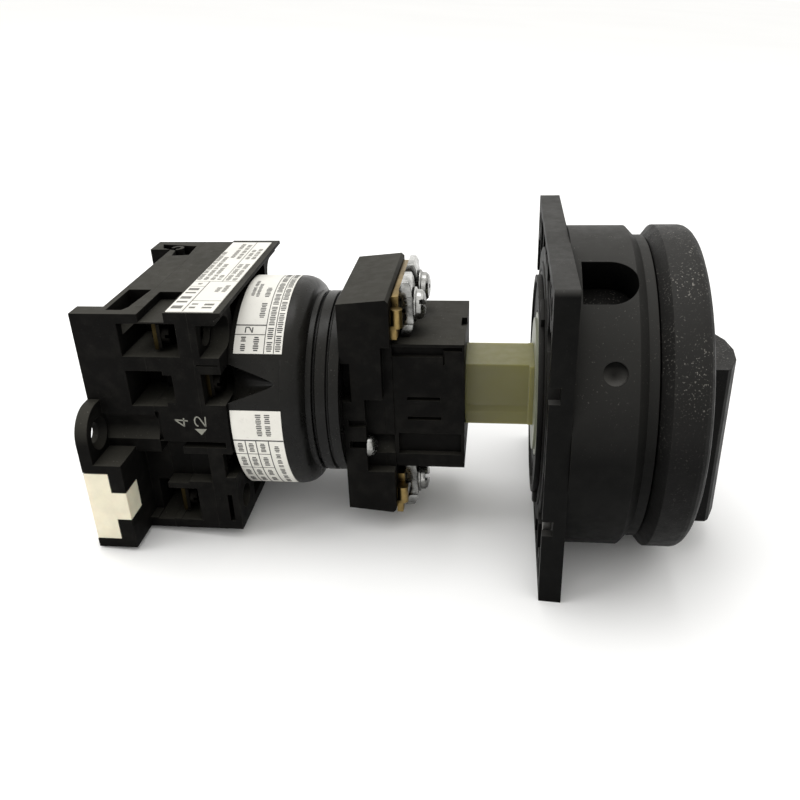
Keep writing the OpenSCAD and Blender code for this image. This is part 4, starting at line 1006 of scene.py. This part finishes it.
CAMERA_PLACE = Vector((0.08051, -0.16206, 0.07933))
CAMERA_YAW = -0.1300
CAMERA_PITCH = 0.4749
CAMERA_ROLL = -0.0381
FOCAL_SHARE = 834.86 / 800
SENSOR = 36
FLOOR_REAR = (0.0, 0.0, -0.0241)
FLOOR_FRONT = (0.1125, 0.0, -0.0332)
FLOOR_SIZE = 6.0
FLOOR_GAP = 0.0002
SKY_TONE = (1.0, 0.995, 0.98, 1)
SKY_DEPTH = {"From Min": -0.5, "From Max": 0.6, "To Min": 0.95, "To Max": 1.15}
LIGHTS = (
    # name, place, point it is turned to, size, watts
    ("key", (0.0, 0.1, 0.8), (0.06, 0, 0), (0.5, 0.4), 2.5),
    ("left", (-0.5, -0.3, 0.35), (0.03, 0, 0), (0.3, 0.3), 1.2),
)


def add_camera():
    """The camera at the photo's angle and distance."""
    forward = Vector((
        math.sin(CAMERA_YAW) * math.cos(CAMERA_PITCH),
        math.cos(CAMERA_YAW) * math.cos(CAMERA_PITCH),
        -math.sin(CAMERA_PITCH),
    ))
    right = Vector((math.cos(CAMERA_YAW), -math.sin(CAMERA_YAW), 0))
    up = right.cross(forward)
    turned_right = right * math.cos(CAMERA_ROLL) + up * math.sin(CAMERA_ROLL)
    turned_up = up * math.cos(CAMERA_ROLL) - right * math.sin(CAMERA_ROLL)
    data = bpy.data.cameras.new("camera")
    data.sensor_width = SENSOR
    data.lens = SENSOR * FOCAL_SHARE
    data.clip_start = 0.01
    data.clip_end = 50
    camera = bpy.data.objects.new("camera", data)
    camera.matrix_world = Matrix((
        (turned_right.x, turned_up.x, -forward.x, CAMERA_PLACE.x),
        (turned_right.y, turned_up.y, -forward.y, CAMERA_PLACE.y),
        (turned_right.z, turned_up.z, -forward.z, CAMERA_PLACE.z),
        (0, 0, 0, 1),
    ))
    bpy.context.scene.collection.objects.link(camera)
    bpy.context.scene.camera = camera


def add_floor():
    """Pale floor under the foot's rear edge and the knob, which carry the part."""
    rear = Vector(FLOOR_REAR)
    along = (Vector(FLOOR_FRONT) - rear).normalized()
    normal = Vector((-along.z, 0, along.x))
    mesh = bpy.data.meshes.new("floor")
    corners = [
        rear + along * a * FLOOR_SIZE + Vector((0, b * FLOOR_SIZE, 0)) - normal * FLOOR_GAP
        for a, b in ((-1, -1), (1, -1), (1, 1), (-1, 1))
    ]
    mesh.from_pydata(corners, [], [(0, 1, 2, 3)])
    floor = bpy.data.objects.new("floor", mesh)
    bpy.context.scene.collection.objects.link(floor)
    s = Shader("floor_pale")
    tone = s.ramp(s.noise(3.0), [(0.3, (0.93, 0.93, 0.925)), (0.7, (0.95, 0.95, 0.945))])
    s.set(Base_Color=tone, Roughness=0.9)
    mesh.materials.append(s.material)


def area_light(name, place, aim, size, power):
    """A soft box, all in metres and watts."""
    data = bpy.data.lights.new(name, "AREA")
    data.shape = "RECTANGLE"
    data.size, data.size_y = size
    data.energy = power
    light = bpy.data.objects.new(name, data)
    light.location = place
    light.rotation_euler = (Vector(aim) - Vector(place)).to_track_quat("-Z", "Y").to_euler()
    bpy.context.scene.collection.objects.link(light)


def add_light():
    """A bright sky behind the part, a dimmer one in front, and two soft boxes."""
    world = bpy.data.worlds.new("studio")
    world.use_nodes = True
    tree = world.node_tree
    back = tree.nodes["Background"]
    place = tree.nodes.new("ShaderNodeTexCoord").outputs["Generated"]
    parts = tree.nodes.new("ShaderNodeSeparateXYZ")
    tree.links.new(place, parts.inputs[0])
    depth = tree.nodes.new("ShaderNodeMapRange")
    depth.interpolation_type = "SMOOTHSTEP"
    for key, value in SKY_DEPTH.items():
        depth.inputs[key].default_value = value
    tree.links.new(parts.outputs[1], depth.inputs["Value"])
    tree.links.new(depth.outputs[0], back.inputs["Strength"])
    back.inputs["Color"].default_value = SKY_TONE
    bpy.context.scene.world = world
    for light in LIGHTS:
        area_light(*light)
    bpy.context.scene.view_settings.view_transform = "Standard"


add_camera()
add_floor()
add_light()

bpy.context.view_layer.update()
